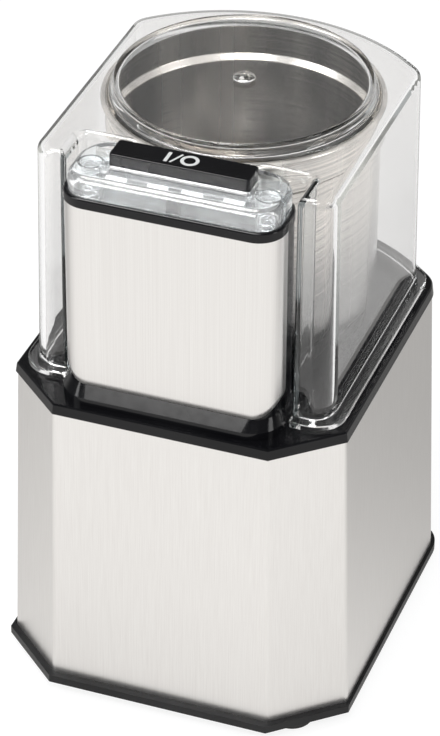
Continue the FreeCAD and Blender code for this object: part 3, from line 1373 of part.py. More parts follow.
def cord_gland():
    z = HOUSING_Z + GLAND_RISE
    way = V(0, 1, 0)
    outer = tapered(HOUSING_LOW, HOUSING_Z, HOUSING_HIGH, DECK_Z)
    inner = tapered(HOUSING_LOW.inset(HOUSING_GAUGE), HOUSING_Z, HOUSING_HIGH.inset(HOUSING_GAUGE), DECK_Z)
    wall_y = gland_end_y() + GLAND_REACH
    length = BASE_BACK_Y - 0.1 - gland_end_y()
    shoulder_y = wall_y - GLAND_SHOULDER
    neck = Part.makeCylinder(GLAND_R, length, V(0, gland_end_y(), z), way)
    flange = Part.makeCylinder(GLAND_FLANGE_R, length - GLAND_REACH + 4, V(0, wall_y - 4, z), way).cut(outer)
    nut = Part.makeCylinder(GLAND_FLANGE_R, GLAND_SHOULDER, V(0, shoulder_y, z), way).common(inner)
    shape = joined([neck, flange, nut])
    bore = Part.makeCylinder(GLAND_BORE_R, length + 2, V(0, gland_end_y() - 1, z), way)
    return shape.cut(bore)


def gland_end_y():
    """Inner end of the gland, where the supply lead leaves it."""
    return BASE_BACK_Y - HOUSING_BACK_SETBACK - GLAND_REACH


def lead(points):
    """Insulated lead: straight runs joined by arcs."""
    count = len(points)
    edges = []
    last = points[0]
    for index in range(1, count - 1):
        corner = points[index]
        to_last = (points[index - 1] - corner).normalize()
        to_next = (points[index + 1] - corner).normalize()
        half_angle = to_last.getAngle(to_next) / 2
        short = min((points[index - 1] - corner).Length, (points[index + 1] - corner).Length)
        reach = 0.45 * short
        print("lead bend radius", round(reach * math.tan(half_angle), 1))
        start = corner + to_last * reach
        end = corner + to_next * reach
        edges.append(Part.LineSegment(last, start).toShape())
        edges.append(bend(start, corner, end))
        last = end
    edges.append(Part.LineSegment(last, points[-1]).toShape())
    path = Part.Wire(edges)
    way = points[1] - points[0]
    profile = Part.Wire([Part.makeCircle(LEAD_R, points[0], way)])
    body = path.makePipeShell([profile], True, False)
    print("lead volume share", round(body.Volume / (math.pi * LEAD_R ** 2 * path.Length), 4))
    return body


def switch_lead():
    """From the middle terminal of the switch down to the board."""
    top = SWITCH_TOP_Z - SWITCH_SIZE[2] - 6
    board_top = HOUSING_Z + BOARD_LIFT + BOARD_SIZE[2]
    drop = (top - board_top) / 5
    inward = (BOARD_Y - PEG_Y) / 5
    points = [V(0, PEG_Y, top), V(0, PEG_Y, top - drop), V(2, PEG_Y + inward, top - 2 * drop)]
    points += [V(2, PEG_Y + 3 * inward, top - 3 * drop), V(0, BOARD_Y, board_top + drop)]
    return lead(points + [V(0, BOARD_Y, board_top)])


def supply_lead():
    """From the inside of the gland round the back and side of the motor to the board."""
    z0 = HOUSING_Z + GLAND_RISE
    z1 = HOUSING_Z + BOARD_LIFT + BOARD_SIZE[2] - 4
    y0 = gland_end_y()
    reach = bracket_reach() * math.sqrt(0.5) + BRACKET_ARM * 0.36
    back = AXIS_Y + reach + LEAD_LANE
    side = reach + LEAD_SIDE_LANE
    rise = (z1 - z0) / 8
    board_x = BOARD_SIZE[0] / 2
    plan = [(0, y0), (3, back + (y0 - back) * 0.45), (16, back), (side - 16, back), (side, back - 14)]
    plan += [(side + 2, AXIS_Y + 6), (side + 1, AXIS_Y - 24), (board_x + 20, BOARD_Y + 12)]
    plan += [(board_x + 13, BOARD_Y), (board_x, BOARD_Y)]
    levels = [z0, z0] + [z0 + rise * step for step in range(1, 7)] + [z1, z1]
    return lead([V(x, y, z) for (x, y), z in zip(plan, levels)])


def build():
    save(bottom_cover(), "bottom_cover")
    for name, place in feet_places().items():
        save(foot(*place), name)
    save(steel_housing(), "steel_housing")
    save(cover_screws(), "cover_screws")
    save(top_deck(), "top_deck")
    save(deck_screws(), "deck_screws")
    save(deck_seal(), "deck_seal")
    save(column_housing(), "column_housing")
    save(column_face_plate(), "column_face_plate")
    save(column_rim(), "column_rim")
    save(switch_bracket(), "switch_bracket")
    save(micro_switch(), "micro_switch")
    save(switch_plunger(), "switch_plunger")
    flange_z = RECESS_Z - RECESS_FLOOR - 0.3 - PLUNGER_FLANGE
    shelf_z = SWITCH_TOP_Z + BRACKET_GAUGE
    plunger_spring = spring(
        "plunger_spring", 0, PEG_Y, shelf_z, flange_z,
        PLUNGER_SPRING_R, PLUNGER_SPRING_WIRE, PLUNGER_SPRING_TURNS
    )
    save(plunger_spring, "plunger_spring")
    save(lid_cover(), "lid_cover")
    save(button_housing(), "button_housing")
    floor_z = CAPSULE_FLOOR_Z + CAPSULE_WALL
    for name, side in (("bar_spring_left", -1), ("bar_spring_right", 1)):
        coil = spring(
            name, side * BOSS_X, BOSS_Y, floor_z, CARRIER_Z,
            BAR_SPRING_R, BAR_SPRING_WIRE, BAR_SPRING_TURNS
        )
        save(coil, name)
    save(press_bar(), "press_bar")
    save(marks(), "on_off_marks")
    save(bar_carrier(), "bar_carrier")
    save(actuator_peg(), "actuator_peg")
    save(bowl_cup(), "bowl_cup")
    save(bowl_base(), "bowl_base")
    save(bowl_screws(), "bowl_screws")
    save(bowl_bushing(), "bowl_bushing")
    save(bowl_seal(), "bowl_seal")
    save(blade(), "blade")
    save(blade_shaft(), "blade_shaft")
    save(blade_nut(), "blade_nut")
    save(driven_coupling(), "driven_coupling")
    save(drive_coupling(), "drive_coupling")
    save(motor_shaft(), "motor_shaft")
    save(armature_core(), "armature_core")
    save(armature_winding(), "armature_winding")
    save(commutator(), "commutator")
    save(cooling_fan(), "cooling_fan")
    save(stator_core(), "stator_core")
    save(field_coils(), "field_coils")
    save(carbon_brushes(), "carbon_brushes")
    save(brush_holders(), "brush_holders")
    save(lower_bracket(), "lower_bracket")
    save(upper_bracket(), "upper_bracket")
    save(bearing(lower_plate_z()), "lower_bearing")
    save(bearing(PLATE_Z - BEARING_HEIGHT), "upper_bearing")
    save(motor_bolts(), "motor_bolts")
    save(motor_mount_plate(), "motor_mount_plate")
    save(motor_isolators(), "motor_isolators")
    save(isolator_screws(), "isolator_screws")
    save(control_board(), "control_board")
    save(line_capacitor(), "line_capacitor")
    save(thermal_cutout(), "thermal_cutout")
    save(cord_gland(), "cord_gland")
    save(switch_lead(), "switch_lead")
    save(supply_lead(), "supply_lead")


build()
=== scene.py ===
# %% [markdown]
# # An electric spice grinder, dressed in Blender
#
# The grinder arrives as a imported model: one mesh for each real piece, in metres, standing on z = 0 with
# its front towards -Y. This lesson gives every piece its finish, and rebuilds with bmesh the pieces that
# the eye lands on: the steel housing, the feet, the column's lip and face plate, the bowl, the clear
# cover, and the press bar with its carrier, springs and marks.

# %% Load the grinder
import json
import math

import bmesh
import bpy
from mathutils import Matrix, Quaternion, Vector


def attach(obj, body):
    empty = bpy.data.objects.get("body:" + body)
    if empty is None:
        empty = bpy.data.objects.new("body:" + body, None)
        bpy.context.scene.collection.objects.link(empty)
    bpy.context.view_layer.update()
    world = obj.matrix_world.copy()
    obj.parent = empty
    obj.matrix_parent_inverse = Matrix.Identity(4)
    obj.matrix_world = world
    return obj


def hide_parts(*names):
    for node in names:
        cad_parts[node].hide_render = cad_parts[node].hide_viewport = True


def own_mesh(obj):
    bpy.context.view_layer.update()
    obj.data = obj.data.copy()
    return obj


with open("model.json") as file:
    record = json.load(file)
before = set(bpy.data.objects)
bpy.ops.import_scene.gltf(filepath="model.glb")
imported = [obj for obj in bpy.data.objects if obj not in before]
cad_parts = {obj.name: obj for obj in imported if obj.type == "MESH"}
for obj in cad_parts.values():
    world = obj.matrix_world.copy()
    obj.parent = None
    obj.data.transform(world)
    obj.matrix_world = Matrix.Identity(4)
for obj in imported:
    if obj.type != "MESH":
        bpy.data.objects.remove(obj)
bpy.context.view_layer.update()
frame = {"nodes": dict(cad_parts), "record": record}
nodes = frame["nodes"]
MM = 0.001

# %% [markdown]
# ## The camera
#
# The photograph was taken from the front right and above with a long lens, which keeps the upright edges
# nearly parallel. `to_track_quat` turns the camera towards a point on the axis, and one more small turn
# about its own line of sight gives the slight lean of the picture.

# %% Aim the camera
AIM = Vector((0, -0.00775, 0.1217))
LEAN = math.radians(0.364)
lens = bpy.data.cameras.new("photo_camera")
lens.lens = 174.6
lens.sensor_width = 36
lens.shift_x = -0.00906
lens.shift_y = 0.00111
lens.clip_start = 0.05
lens.clip_end = 50
camera = bpy.data.objects.new("photo_camera", lens)
bpy.context.scene.collection.objects.link(camera)
camera.location = (0.41383, -1.14771, 0.95180)
camera.rotation_mode = "QUATERNION"
sight = AIM - camera.location
camera.rotation_quaternion = sight.to_track_quat("-Z", "Y") @ Quaternion((0, 0, 1), LEAN)
bpy.context.scene.camera = camera
bpy.context.scene.view_settings.view_transform = "Standard"
# light that runs inside a clear wall is thrown from side to side many times before it leaves
bpy.context.scene.cycles.max_bounces = 24
bpy.context.scene.cycles.glossy_bounces = 20
bpy.context.scene.cycles.transmission_bounces = 24
print("camera is", round(sight.length, 3), "m from its aim")

# %% [markdown]
# ## The white sweep and the lamps
#
# Steel and clear plastic show their surroundings, so the surroundings are half of the material. The floor
# and the world are pure white where the camera looks at them, and a little greyer towards the sides and
# the back where metal mirrors them, as a lit table is. The real lamps stay at a plain level.


# %% Helpers for shader trees
def feed(tree, value, socket):
    """Links another node's output to a socket, or sets the socket to a plain value."""
    if isinstance(value, bpy.types.NodeSocket):
        tree.links.new(value, socket)
    else:
        socket.default_value = value


def add(tree, kind, inputs=None, **settings):
    """A new node with its properties set, and its inputs fed by name or by number."""
    node = tree.nodes.new(kind)
    for key, value in settings.items():
        setattr(node, key, value)
    for label, value in (inputs or {}).items():
        feed(tree, value, node.inputs[label])
    return node


def maths(tree, operation, *terms, **settings):
    """The result of a Math node on numbers and outputs."""
    return add(tree, "ShaderNodeMath", dict(enumerate(terms)), operation=operation, **settings).outputs[0]


def ranged(tree, value, start, end, low, high, kind="SMOOTHSTEP"):
    """The result of a Map Range node: low up to the start value, high from the end value on."""
    inputs = {"Value": value, "From Min": start, "From Max": end, "To Min": low, "To Max": high}
    return add(tree, "ShaderNodeMapRange", inputs, interpolation_type=kind).outputs[0]


def mixed(tree, share, first, second):
    """The first shader where the share is 0, and the second where it is 1."""
    return add(tree, "ShaderNodeMixShader", {0: share, 1: first, 2: second}).outputs[0]


def fresh_tree(owner):
    """The emptied node tree of a world or a material."""
    owner.use_nodes = True
    owner.node_tree.nodes.clear()
    return owner.node_tree


# %% The world
WORLD_LIGHT = 0.55
world = bpy.data.worlds.new("white_studio")
bpy.context.scene.world = world
tree = fresh_tree(world)
rays = add(tree, "ShaderNodeLightPath").outputs
heading = add(tree, "ShaderNodeTexCoord").outputs["Generated"]
# what metal and gloss mirror: white at table level, dimmer towards the studio's ceiling
upward = add(tree, "ShaderNodeSeparateXYZ", {0: heading}).outputs["Z"]
ceiling = ranged(tree, upward, 0.02, 0.45, 0.95, 0.12)
# and one round softbox, almost overhead and a little to the left, as bright lines and spots
SOFTBOX_WAY = Vector((-0.27, -0.10, 0.958)).normalized()
SOFTBOX_RIM, SOFTBOX_FULL, SOFTBOX_STRENGTH = math.cos(math.radians(18)), math.cos(math.radians(15)), 14.0
towards = add(tree, "ShaderNodeVectorMath", {0: heading, 1: SOFTBOX_WAY}, operation="DOT_PRODUCT")
softbox = ranged(tree, towards.outputs["Value"], SOFTBOX_RIM, SOFTBOX_FULL, 0.0, SOFTBOX_STRENGTH)
overhead = maths(tree, "ADD", ceiling, softbox)
mirrored = add(tree, "ShaderNodeBackground", {"Color": (1, 0.99, 0.975, 1), "Strength": overhead})
scattered = add(tree, "ShaderNodeBackground", {"Color": (0.96, 0.98, 1.0, 1), "Strength": WORLD_LIGHT})
white = add(tree, "ShaderNodeBackground", {"Color": (1, 1, 1, 1)})
unseen = mixed(tree, rays["Is Glossy Ray"], scattered.outputs[0], mirrored.outputs[0])
clear_view = maths(tree, "MAXIMUM", rays["Is Camera Ray"], rays["Is Transmission Ray"])
add(tree, "ShaderNodeOutputWorld", {0: mixed(tree, clear_view, unseen, white.outputs[0])})
print("world: white where it is seen, graded where it is mirrored,", WORLD_LIGHT, "as light")

# %% The floor
FLOOR_RADIUS = 6.0
sweep = bmesh.new()
bmesh.ops.create_circle(sweep, cap_ends=True, segments=96, radius=FLOOR_RADIUS)
floor_mesh = bpy.data.meshes.new("sweep_floor")
sweep.to_mesh(floor_mesh)
sweep.free()
floor = bpy.data.objects.new("sweep_floor", floor_mesh)
bpy.context.scene.collection.objects.link(floor)
print("floor radius", FLOOR_RADIUS, "m")

# %% White paper on the floor
paper = bpy.data.materials.new("white_paper")
tree = fresh_tree(paper)
rays = add(tree, "ShaderNodeLightPath").outputs
lit = add(tree, "ShaderNodeBsdfDiffuse", {"Color": (0.86, 0.86, 0.86, 1)})
# where it is seen, the paper glows to white and keeps a faint shadow
soft = add(tree, "ShaderNodeBsdfDiffuse", {"Color": (0.22, 0.22, 0.22, 1)})
glow = add(tree, "ShaderNodeEmission", {"Strength": 0.86})
glowing = add(tree, "ShaderNodeAddShader", {0: soft.outputs[0], 1: glow.outputs[0]})
# painted light: where metal mirrors it, the table glows brighter in front than behind, as a table lit from
# the front would
TABLE_TURN = math.radians(80)
place = add(tree, "ShaderNodeTexCoord").outputs["Object"]
table = add(tree, "ShaderNodeMapping", {"Vector": place, "Rotation": (0, 0, TABLE_TURN)})
slope = add(tree, "ShaderNodeSeparateXYZ", {0: table.outputs[0]})
falling = ranged(tree, slope.outputs["X"], -0.17, 0.23, 0.5, 1.06)
graded = add(tree, "ShaderNodeEmission", {"Color": (1, 0.985, 0.965, 1), "Strength": falling})
only_mirrored = maths(tree, "SUBTRACT", rays["Is Glossy Ray"], rays["Is Transmission Ray"], use_clamp=True)
shown = mixed(tree, only_mirrored, glowing.outputs[0], graded.outputs[0])
by_metal_or_glass = maths(tree, "MAXIMUM", rays["Is Glossy Ray"], rays["Is Transmission Ray"])
seen = maths(tree, "MAXIMUM", rays["Is Camera Ray"], by_metal_or_glass)
add(tree, "ShaderNodeOutputMaterial", {0: mixed(tree, seen, lit.outputs[0], shown)})
floor_mesh.materials.append(paper)
print("paper: nodes", len(tree.nodes))


# %% The lamps
def soft_lamp(name, place, aim, width, height, watts):
    """A rectangular softbox at a place, turned towards a point."""
    box_light = bpy.data.lights.new(name, "AREA")
    box_light.shape = "RECTANGLE"
    box_light.size = width
    box_light.size_y = height
    box_light.energy = watts
    lamp = bpy.data.objects.new(name, box_light)
    bpy.context.scene.collection.objects.link(lamp)
    lamp.location = place
    lamp.rotation_mode = "QUATERNION"
    lamp.rotation_quaternion = (Vector(aim) - Vector(place)).to_track_quat("-Z", "Y")
    print(name, width, "x", height, "m,", watts, "W")
    return lamp


soft_lamp("lamp_left", (-1.1, -0.9, 1.1), (0, 0, 0.15), 0.6, 0.8, 10)
soft_lamp("lamp_front", (0.25, -1.25, 1.7), (0, 0, 0.2), 0.9, 0.35, 10)
soft_lamp("lamp_right", (1.4, -0.2, 0.8), (0, 0, 0.12), 0.35, 0.8, 4)

# %% [markdown]
# ## Grain and mottle
#
# A finish that is one flat colour looks like a drawing. Three small node groups bring the surfaces to
# life: drawn grain for brushed metal, turned grain for spun metal, and a mottle for moulded plastic,
# rubber and castings. Each gives out values only, and every material decides what they do.


# %% Start a node group
def new_group(name, inputs, outputs):
    """An empty node group. Gives back the group, what comes in and what goes out."""
    group = bpy.data.node_groups.new(name, "ShaderNodeTree")
    for label, kind, value in inputs:
        socket = group.interface.new_socket(name=label, in_out="INPUT", socket_type=kind)
        socket.default_value = value
    for label in outputs:
        group.interface.new_socket(name=label, in_out="OUTPUT", socket_type="NodeSocketFloat")
    return group, add(group, "NodeGroupInput").outputs, add(group, "NodeGroupOutput").inputs


# %% Drawn grain
drawn_grain, source, result = new_group("drawn_grain", [("Vector", "NodeSocketVector", (0, 0, 0))], ["Lines"])
lines = {"Vector": source["Vector"], "Scale": 1.0, "Detail": 3.0, "Roughness": 0.62}
feed(drawn_grain, add(drawn_grain, "ShaderNodeTexNoise", lines).outputs[0], result["Lines"])
print("group drawn_grain: lines along the axis that its vector is stretched on")

# %% Turned grain
turned_grain, source, result = new_group(
    "turned_grain",
    [("Vector", "NodeSocketVector", (0, 0, 0)), ("Pitch", "NodeSocketFloat", 1400.0),
     ("Fan Way", "NodeSocketVector", (0, 1, 0)), ("Fan", "NodeSocketFloat", 0.0)],
    ["Rings", "Streaks", "Sheen"],
)
RING_SHARE, STREAK_SHARE, FAN_POWER = 0.4, 0.62, 22.0
apart = add(turned_grain, "ShaderNodeSeparateXYZ", {0: source["Vector"]}).outputs
flat = add(turned_grain, "ShaderNodeCombineXYZ", {"X": apart["X"], "Y": apart["Y"]}).outputs[0]
away = add(turned_grain, "ShaderNodeVectorMath", {0: flat}, operation="LENGTH").outputs["Value"]
along = maths(turned_grain, "ADD", away, apart["Z"])
turns = {"W": along, "Scale": source["Pitch"], "Detail": 3.0}
rings = add(turned_grain, "ShaderNodeTexNoise", turns, noise_dimensions="1D").outputs[0]
way = add(turned_grain, "ShaderNodeVectorMath", {0: flat}, operation="NORMALIZE").outputs[0]
streaks = add(turned_grain, "ShaderNodeTexNoise", {"Vector": way, "Scale": 3.0, "Detail": 1.0}).outputs[0]
# painted sheen: the soft streaks lighten and darken the tone across the rings, which are grain
share = maths(turned_grain, "MULTIPLY", streaks, STREAK_SHARE)
sheen = maths(turned_grain, "MULTIPLY_ADD", rings, RING_SHARE, share)
# painted highlight: the colour is brightest in a fan about one way, as turned metal shines in a fan away from
# the light
facing = add(turned_grain, "ShaderNodeVectorMath", {0: way, 1: source["Fan Way"]}, operation="DOT_PRODUCT")
ahead = maths(turned_grain, "MAXIMUM", facing.outputs["Value"], 0.0)
fan = maths(turned_grain, "POWER", ahead, FAN_POWER)
feed(turned_grain, rings, result["Rings"])
feed(turned_grain, streaks, result["Streaks"])
feed(turned_grain, maths(turned_grain, "MULTIPLY_ADD", fan, source["Fan"], sheen), result["Sheen"])
print("group turned_grain: rings about the Z axis of its vector, and soft streaks across them")

# %% Mottle
mottle, source, result = new_group("mottle", [("Scale", "NodeSocketFloat", 900.0)], ["Speckle", "Cloud"])
place = add(mottle, "ShaderNodeTexCoord").outputs["Object"]
speckle = add(mottle, "ShaderNodeTexNoise", {"Vector": place, "Scale": source["Scale"], "Detail": 2.0})
cloud = add(mottle, "ShaderNodeTexNoise", {"Vector": place, "Scale": 24.0, "Detail": 3.0})
feed(mottle, speckle.outputs[0], result["Speckle"])
feed(mottle, cloud.outputs[0], result["Cloud"])
print("group mottle: fine speckle and slow cloud")

# %% [markdown]
# ## Finishes
#
# Each finish of the grinder is one material: a Principled shader whose colour, roughness and bump come
# from the groups. A small helper turns a value between 0 and 1 into a range, so that every material
# reads the same way: low value, high value, and what it feeds.

# %% Helpers for materials
# a noise seldom leaves the middle of its range, so only the middle is used
NOISE_LOW, NOISE_HIGH = 0.3, 0.7


def new_finish(name, roughness, metallic=0.0):
    """A material that is only a Principled shader so far. Gives back its tree and the shader too."""
    finish = bpy.data.materials.new(name)
    tree = fresh_tree(finish)
    shader = add(tree, "ShaderNodeBsdfPrincipled", {"Roughness": roughness, "Metallic": metallic})
    add(tree, "ShaderNodeOutputMaterial", {0: shader.outputs[0]})
    print("finish", name)
    return finish, tree, shader


def place_group(tree, group, **values):
    """Puts a group into a material, with its own values. An underscore stands for a space."""
    inputs = {label.replace("_", " "): value for label, value in values.items()}
    return add(tree, "ShaderNodeGroup", inputs, node_tree=group).outputs


def spread(tree, value, low, high, target):
    """Feeds a socket with a value that runs from low to high."""
    feed(tree, ranged(tree, value, NOISE_LOW, NOISE_HIGH, low, high, "LINEAR"), target)


def tint(tree, value, dark, light, target):
    """Feeds a colour socket with a colour between a dark and a light one."""
    ramp = add(tree, "ShaderNodeValToRGB", {0: value})
    for stop, place, colour in zip(ramp.color_ramp.elements, (NOISE_LOW, NOISE_HIGH), (dark, light)):
        stop.position = place
        stop.color = (*colour, 1)
    feed(tree, ramp.outputs[0], target)


def raised(tree, value, height, shader, strength=1.0):
    """Small relief from a value, by a Bump node."""
    bump = add(tree, "ShaderNodeBump", {"Distance": height, "Strength": strength, "Height": value})
    feed(tree, bump.outputs[0], shader.inputs["Normal"])


def stretched(tree, scale, location=(0, 0, 0)):
    """Object coordinates, moved and scaled by a Mapping node."""
    place = add(tree, "ShaderNodeTexCoord").outputs["Object"]
    inputs = {"Vector": place, "Location": location, "Scale": scale}
    return add(tree, "ShaderNodeMapping", inputs).outputs[0]


# %% [markdown]
# ## Brushed steel
#
# The housing and the face plate are one kind of sheet, brushed upright. The brush leaves fine lines that
# change the tone, the gloss and the relief a little, so one noise, stretched along Z, feeds all three. A
# picture of brushed metal would do it too, but a noise has no seam at the bends.

# %% Brushed steel of the housing and the face plate
brushed_steel, tree, shader = new_finish("brushed_steel", 0.34, 1.0)
lines = place_group(tree, drawn_grain, Vector=stretched(tree, (2600, 2600, 14)))["Lines"]
tint(tree, lines, (0.77, 0.755, 0.74), (0.83, 0.82, 0.805), shader.inputs["Base Color"])
spread(tree, lines, 0.31, 0.37, shader.inputs["Roughness"])
raised(tree, lines, 0.000008, shader, 0.4)

# %% [markdown]
# ## Spun steel
#
# The bowl is spun on a lathe, so it shows fine rings. Its colour is painted lighter at the mouth and darker
# deeper down, as painted shade, and carries a painted highlight in a fan. The fan could come from an
# anisotropic shader, but a mask from the turned grain keeps the same fan in every view.

# %% Spun steel of the bowl
BOWL_Y = 10.25
ON_AXIS = (0, -BOWL_Y * MM, 0)
bowl_steel, tree, shader = new_finish("bowl_steel", 0.22, 1.0)
centred = stretched(tree, (1, 1, 1), ON_AXIS)
# painted highlight: a fan of brighter colour on the far wall, turned towards Fan Way
grain = place_group(tree, turned_grain, Vector=centred, Pitch=900.0, Fan_Way=(-0.565, 0.825, 0), Fan=0.45)
# painted shade: the colour darkens from the mouth towards the deep part of the bowl
place = add(tree, "ShaderNodeTexCoord").outputs["Object"]
height = add(tree, "ShaderNodeSeparateXYZ", {0: place}).outputs["Z"]
painted_depth_shade = ranged(tree, height, 0.150, 0.225, -0.36, 0.04)
# ring grain, with painted sheen, a painted highlight fan and painted shade in the depth
grain_and_painted_light = maths(tree, "ADD", grain["Sheen"], painted_depth_shade)
tint(tree, grain_and_painted_light, (0.35, 0.345, 0.34), (0.95, 0.91, 0.86), shader.inputs["Base Color"])
spread(tree, grain["Streaks"], 0.17, 0.30, shader.inputs["Roughness"])
raised(tree, grain["Rings"], 0.000006, shader, 0.4)

# %% [markdown]
# ## The metals inside
#
# Screws, brackets, bearings and castings show little, and only when the grinder is opened. One function
# makes them all from the mottle, and each call gives its own tones, gloss and size of speckle. The motor's
# core shows its thin plates as drawn lines across, and its winding shows turns of copper wire.


# %% Plated steel, castings and bronze
def metal(name, dark, light, roughness, scale, height):
    """A metal with a slow cloud in its colour and a fine speckle in its gloss."""
    finish, tree, shader = new_finish(name, roughness, 1.0)
    spots = place_group(tree, mottle, Scale=scale)
    tint(tree, spots["Cloud"], dark, light, shader.inputs["Base Color"])
    spread(tree, spots["Speckle"], roughness * 0.8, roughness * 1.25, shader.inputs["Roughness"])
    raised(tree, spots["Speckle"], height, shader, 0.6)
    return finish


bright_steel = metal("bright_steel", (0.62, 0.62, 0.64), (0.78, 0.78, 0.79), 0.24, 700.0, 0.00002)
cast_aluminium = metal("cast_aluminium", (0.52, 0.52, 0.53), (0.66, 0.66, 0.67), 0.48, 500.0, 0.00012)
bronze = metal("bronze", (0.48, 0.34, 0.16), (0.64, 0.48, 0.24), 0.38, 900.0, 0.00005)

# %% Core plates and wound copper
core_steel, tree, shader = new_finish("core_steel", 0.5, 1.0)
lines = place_group(tree, drawn_grain, Vector=stretched(tree, (6, 6, 1600)))["Lines"]
tint(tree, lines, (0.17, 0.17, 0.18), (0.34, 0.34, 0.35), shader.inputs["Base Color"])
raised(tree, lines, 0.0001, shader)

copper, tree, shader = new_finish("copper", 0.32, 1.0)
rings = place_group(tree, turned_grain, Vector=stretched(tree, (1, 1, 1), ON_AXIS), Pitch=1300.0)["Rings"]
tint(tree, rings, (0.42, 0.17, 0.07), (0.72, 0.36, 0.18), shader.inputs["Base Color"])
raised(tree, rings, 0.00015, shader)

# %% [markdown]
# ## Plastics and rubber
#
# Moulded parts differ in two things that the eye reads at once: how sharp their reflection is, and how
# fine the skin of the mould was. So one function takes a range of roughness and a speckle, and makes the
# glossy lip as well as the matt deck, the rubber feet and the white ink.


# %% Plastics, rubber, carbon, board and marks
def moulded(name, dark, light, low, high, scale, height, specular=0.5):
    """A moulded finish: two tones, a range of roughness, and a speckle of some scale and height."""
    finish, tree, shader = new_finish(name, low)
    shader.inputs["Specular IOR Level"].default_value = specular
    spots = place_group(tree, mottle, Scale=scale)
    tint(tree, spots["Cloud"], dark, light, shader.inputs["Base Color"])
    spread(tree, spots["Speckle"], low, high, shader.inputs["Roughness"])
    raised(tree, spots["Speckle"], height, shader, 0.6)
    return finish


gloss_black = moulded("gloss_black", (0.004, 0.004, 0.005), (0.010, 0.010, 0.011), 0.07, 0.13, 260.0,
                      0.000003, specular=0.27)
black_plastic = moulded("black_plastic", (0.006, 0.006, 0.0065), (0.015, 0.015, 0.016), 0.34, 0.48, 1400.0,
                        0.00004, specular=0.3)
rubber = moulded("rubber", (0.012, 0.012, 0.012), (0.032, 0.031, 0.03), 0.6, 0.8, 1100.0, 0.00008)
carbon = moulded("carbon", (0.03, 0.03, 0.03), (0.07, 0.07, 0.07), 0.5, 0.7, 1800.0, 0.00005)
white_mark = moulded("white_mark", (0.74, 0.74, 0.73), (0.84, 0.84, 0.83), 0.35, 0.5, 900.0, 0.00002)
board_green = moulded("board_green", (0.02, 0.11, 0.05), (0.05, 0.2, 0.09), 0.25, 0.4, 600.0, 0.00003)

# %% [markdown]
# ## Clear plastic
#
# The cover is moulded in a clear glassy plastic: full transmission and an index of refraction of 1.49.
# Real light passes through it and lights what is inside, but a path tracer finds that hard to follow, so
# the rays that only ask about shadow see a plain transparent shader. So do rays that have turned many
# times inside a wall, as real light leaks out at scuffs and moulding marks. That choice sits in the
# material itself, next to the shader it switches.

# %% Clear and milky plastic
PLASTIC_IOR, LAST_TURN = 1.49, 6.5


def clear_finish(name, tone, transmission, cloudy):
    """A clear plastic. A transmission below 1 leaves some white body in it, as ribbed parts show."""
    finish, tree, shader = new_finish(name, 0.02)
    shader.inputs["Base Color"].default_value = (*tone, 1)
    shader.inputs["Transmission Weight"].default_value = transmission
    shader.inputs["IOR"].default_value = PLASTIC_IOR
    cloud = place_group(tree, mottle, Scale=120.0)["Cloud"]
    spread(tree, cloud, 0.0, cloudy, shader.inputs["Roughness"])
    raised(tree, cloud, 0.00002, shader, 0.3)
    rays = add(tree, "ShaderNodeLightPath").outputs
    through = add(tree, "ShaderNodeBsdfTransparent", {"Color": (0.93, 0.95, 0.955, 1)})
    caught = maths(tree, "GREATER_THAN", rays["Ray Depth"], LAST_TURN)
    either = maths(tree, "MAXIMUM", rays["Is Shadow Ray"], caught)
    output = next(n for n in tree.nodes if n.type == "OUTPUT_MATERIAL")
    feed(tree, mixed(tree, either, shader.outputs[0], through.outputs[0]), output.inputs[0])
    return finish


# the cover, the button housing with a white body that lightens it as painted light, and the milky ribs in it
clear_plastic = clear_finish("clear_plastic", (0.93, 0.925, 0.92), 1.0, 0.03)
painted_bright_plastic = clear_finish("painted_bright_plastic", (0.985, 0.985, 0.985), 0.96, 0.04)
milky_plastic = clear_finish("milky_plastic", (0.97, 0.97, 0.97), 0.2, 0.08)

# %% [markdown]
# ## Dressing the model
#
# Every piece of the imported model names a material slot. The pieces that aren't rebuilt below keep their
# own mesh and get the finish of that slot. Only the button housing wears a variant of its slot painted
# brighter as painted light.

# %% Dress every node of the model by its slot
finishes = {
    "brushed_steel": brushed_steel, "bowl_steel": bowl_steel, "bright_steel": bright_steel,
    "core_steel": core_steel, "cast_aluminium": cast_aluminium, "copper": copper, "bronze": bronze,
    "carbon": carbon, "gloss_black": gloss_black, "black_plastic": black_plastic,
    "white_mark": white_mark, "clear_plastic": clear_plastic, "rubber": rubber, "board_green": board_green,
}
for piece in frame["record"]["subparts"]:
    mesh = nodes[piece["node"]].data
    mesh.materials.clear()
    mesh.materials.append(finishes[piece["material_slot"]])
# painted light: a white body lightens the button housing
nodes["button_housing"].material_slots[0].material = painted_bright_plastic
print("finishes", len(finishes), "on", len(nodes), "pieces")

# %% [markdown]
# ## Drawing an outline with operators
#
# Most moulded and folded pieces of the grinder are one outline, repeated at several heights and joined.
# An outline is drawn as with a pen: the last vertex is extruded for a straight line, and extruded and
# rotated in small steps for a turn. The skin is then raised by extruding the whole outline and laying it
# on the next one, point by point, so that a notched outline can't be joined the wrong way round.

# %% The pen
SAME_PLACE = 2e-6


def pen(bm, z, start, strokes):
    """An open line at height z, in millimetres. A stroke is a point or (cx, cy, degrees, steps)."""
    drawn = [bm.verts.new(Vector((*start, z)) * MM)]
    for stroke in strokes:
        if len(stroke) == 2:
            drawn.append(bmesh.ops.extrude_vert_indiv(bm, verts=[drawn[-1]])["verts"][0])
            drawn[-1].co = Vector((*stroke, z)) * MM
            continue
        cx, cy, degrees, steps = stroke
        turn = Matrix.Rotation(math.radians(degrees / steps), 3, "Z")
        for _ in range(steps):
            drawn.append(bmesh.ops.extrude_vert_indiv(bm, verts=[drawn[-1]])["verts"][0])
            bmesh.ops.rotate(bm, verts=[drawn[-1]], cent=Vector((cx, cy, z)) * MM, matrix=turn)
    return drawn


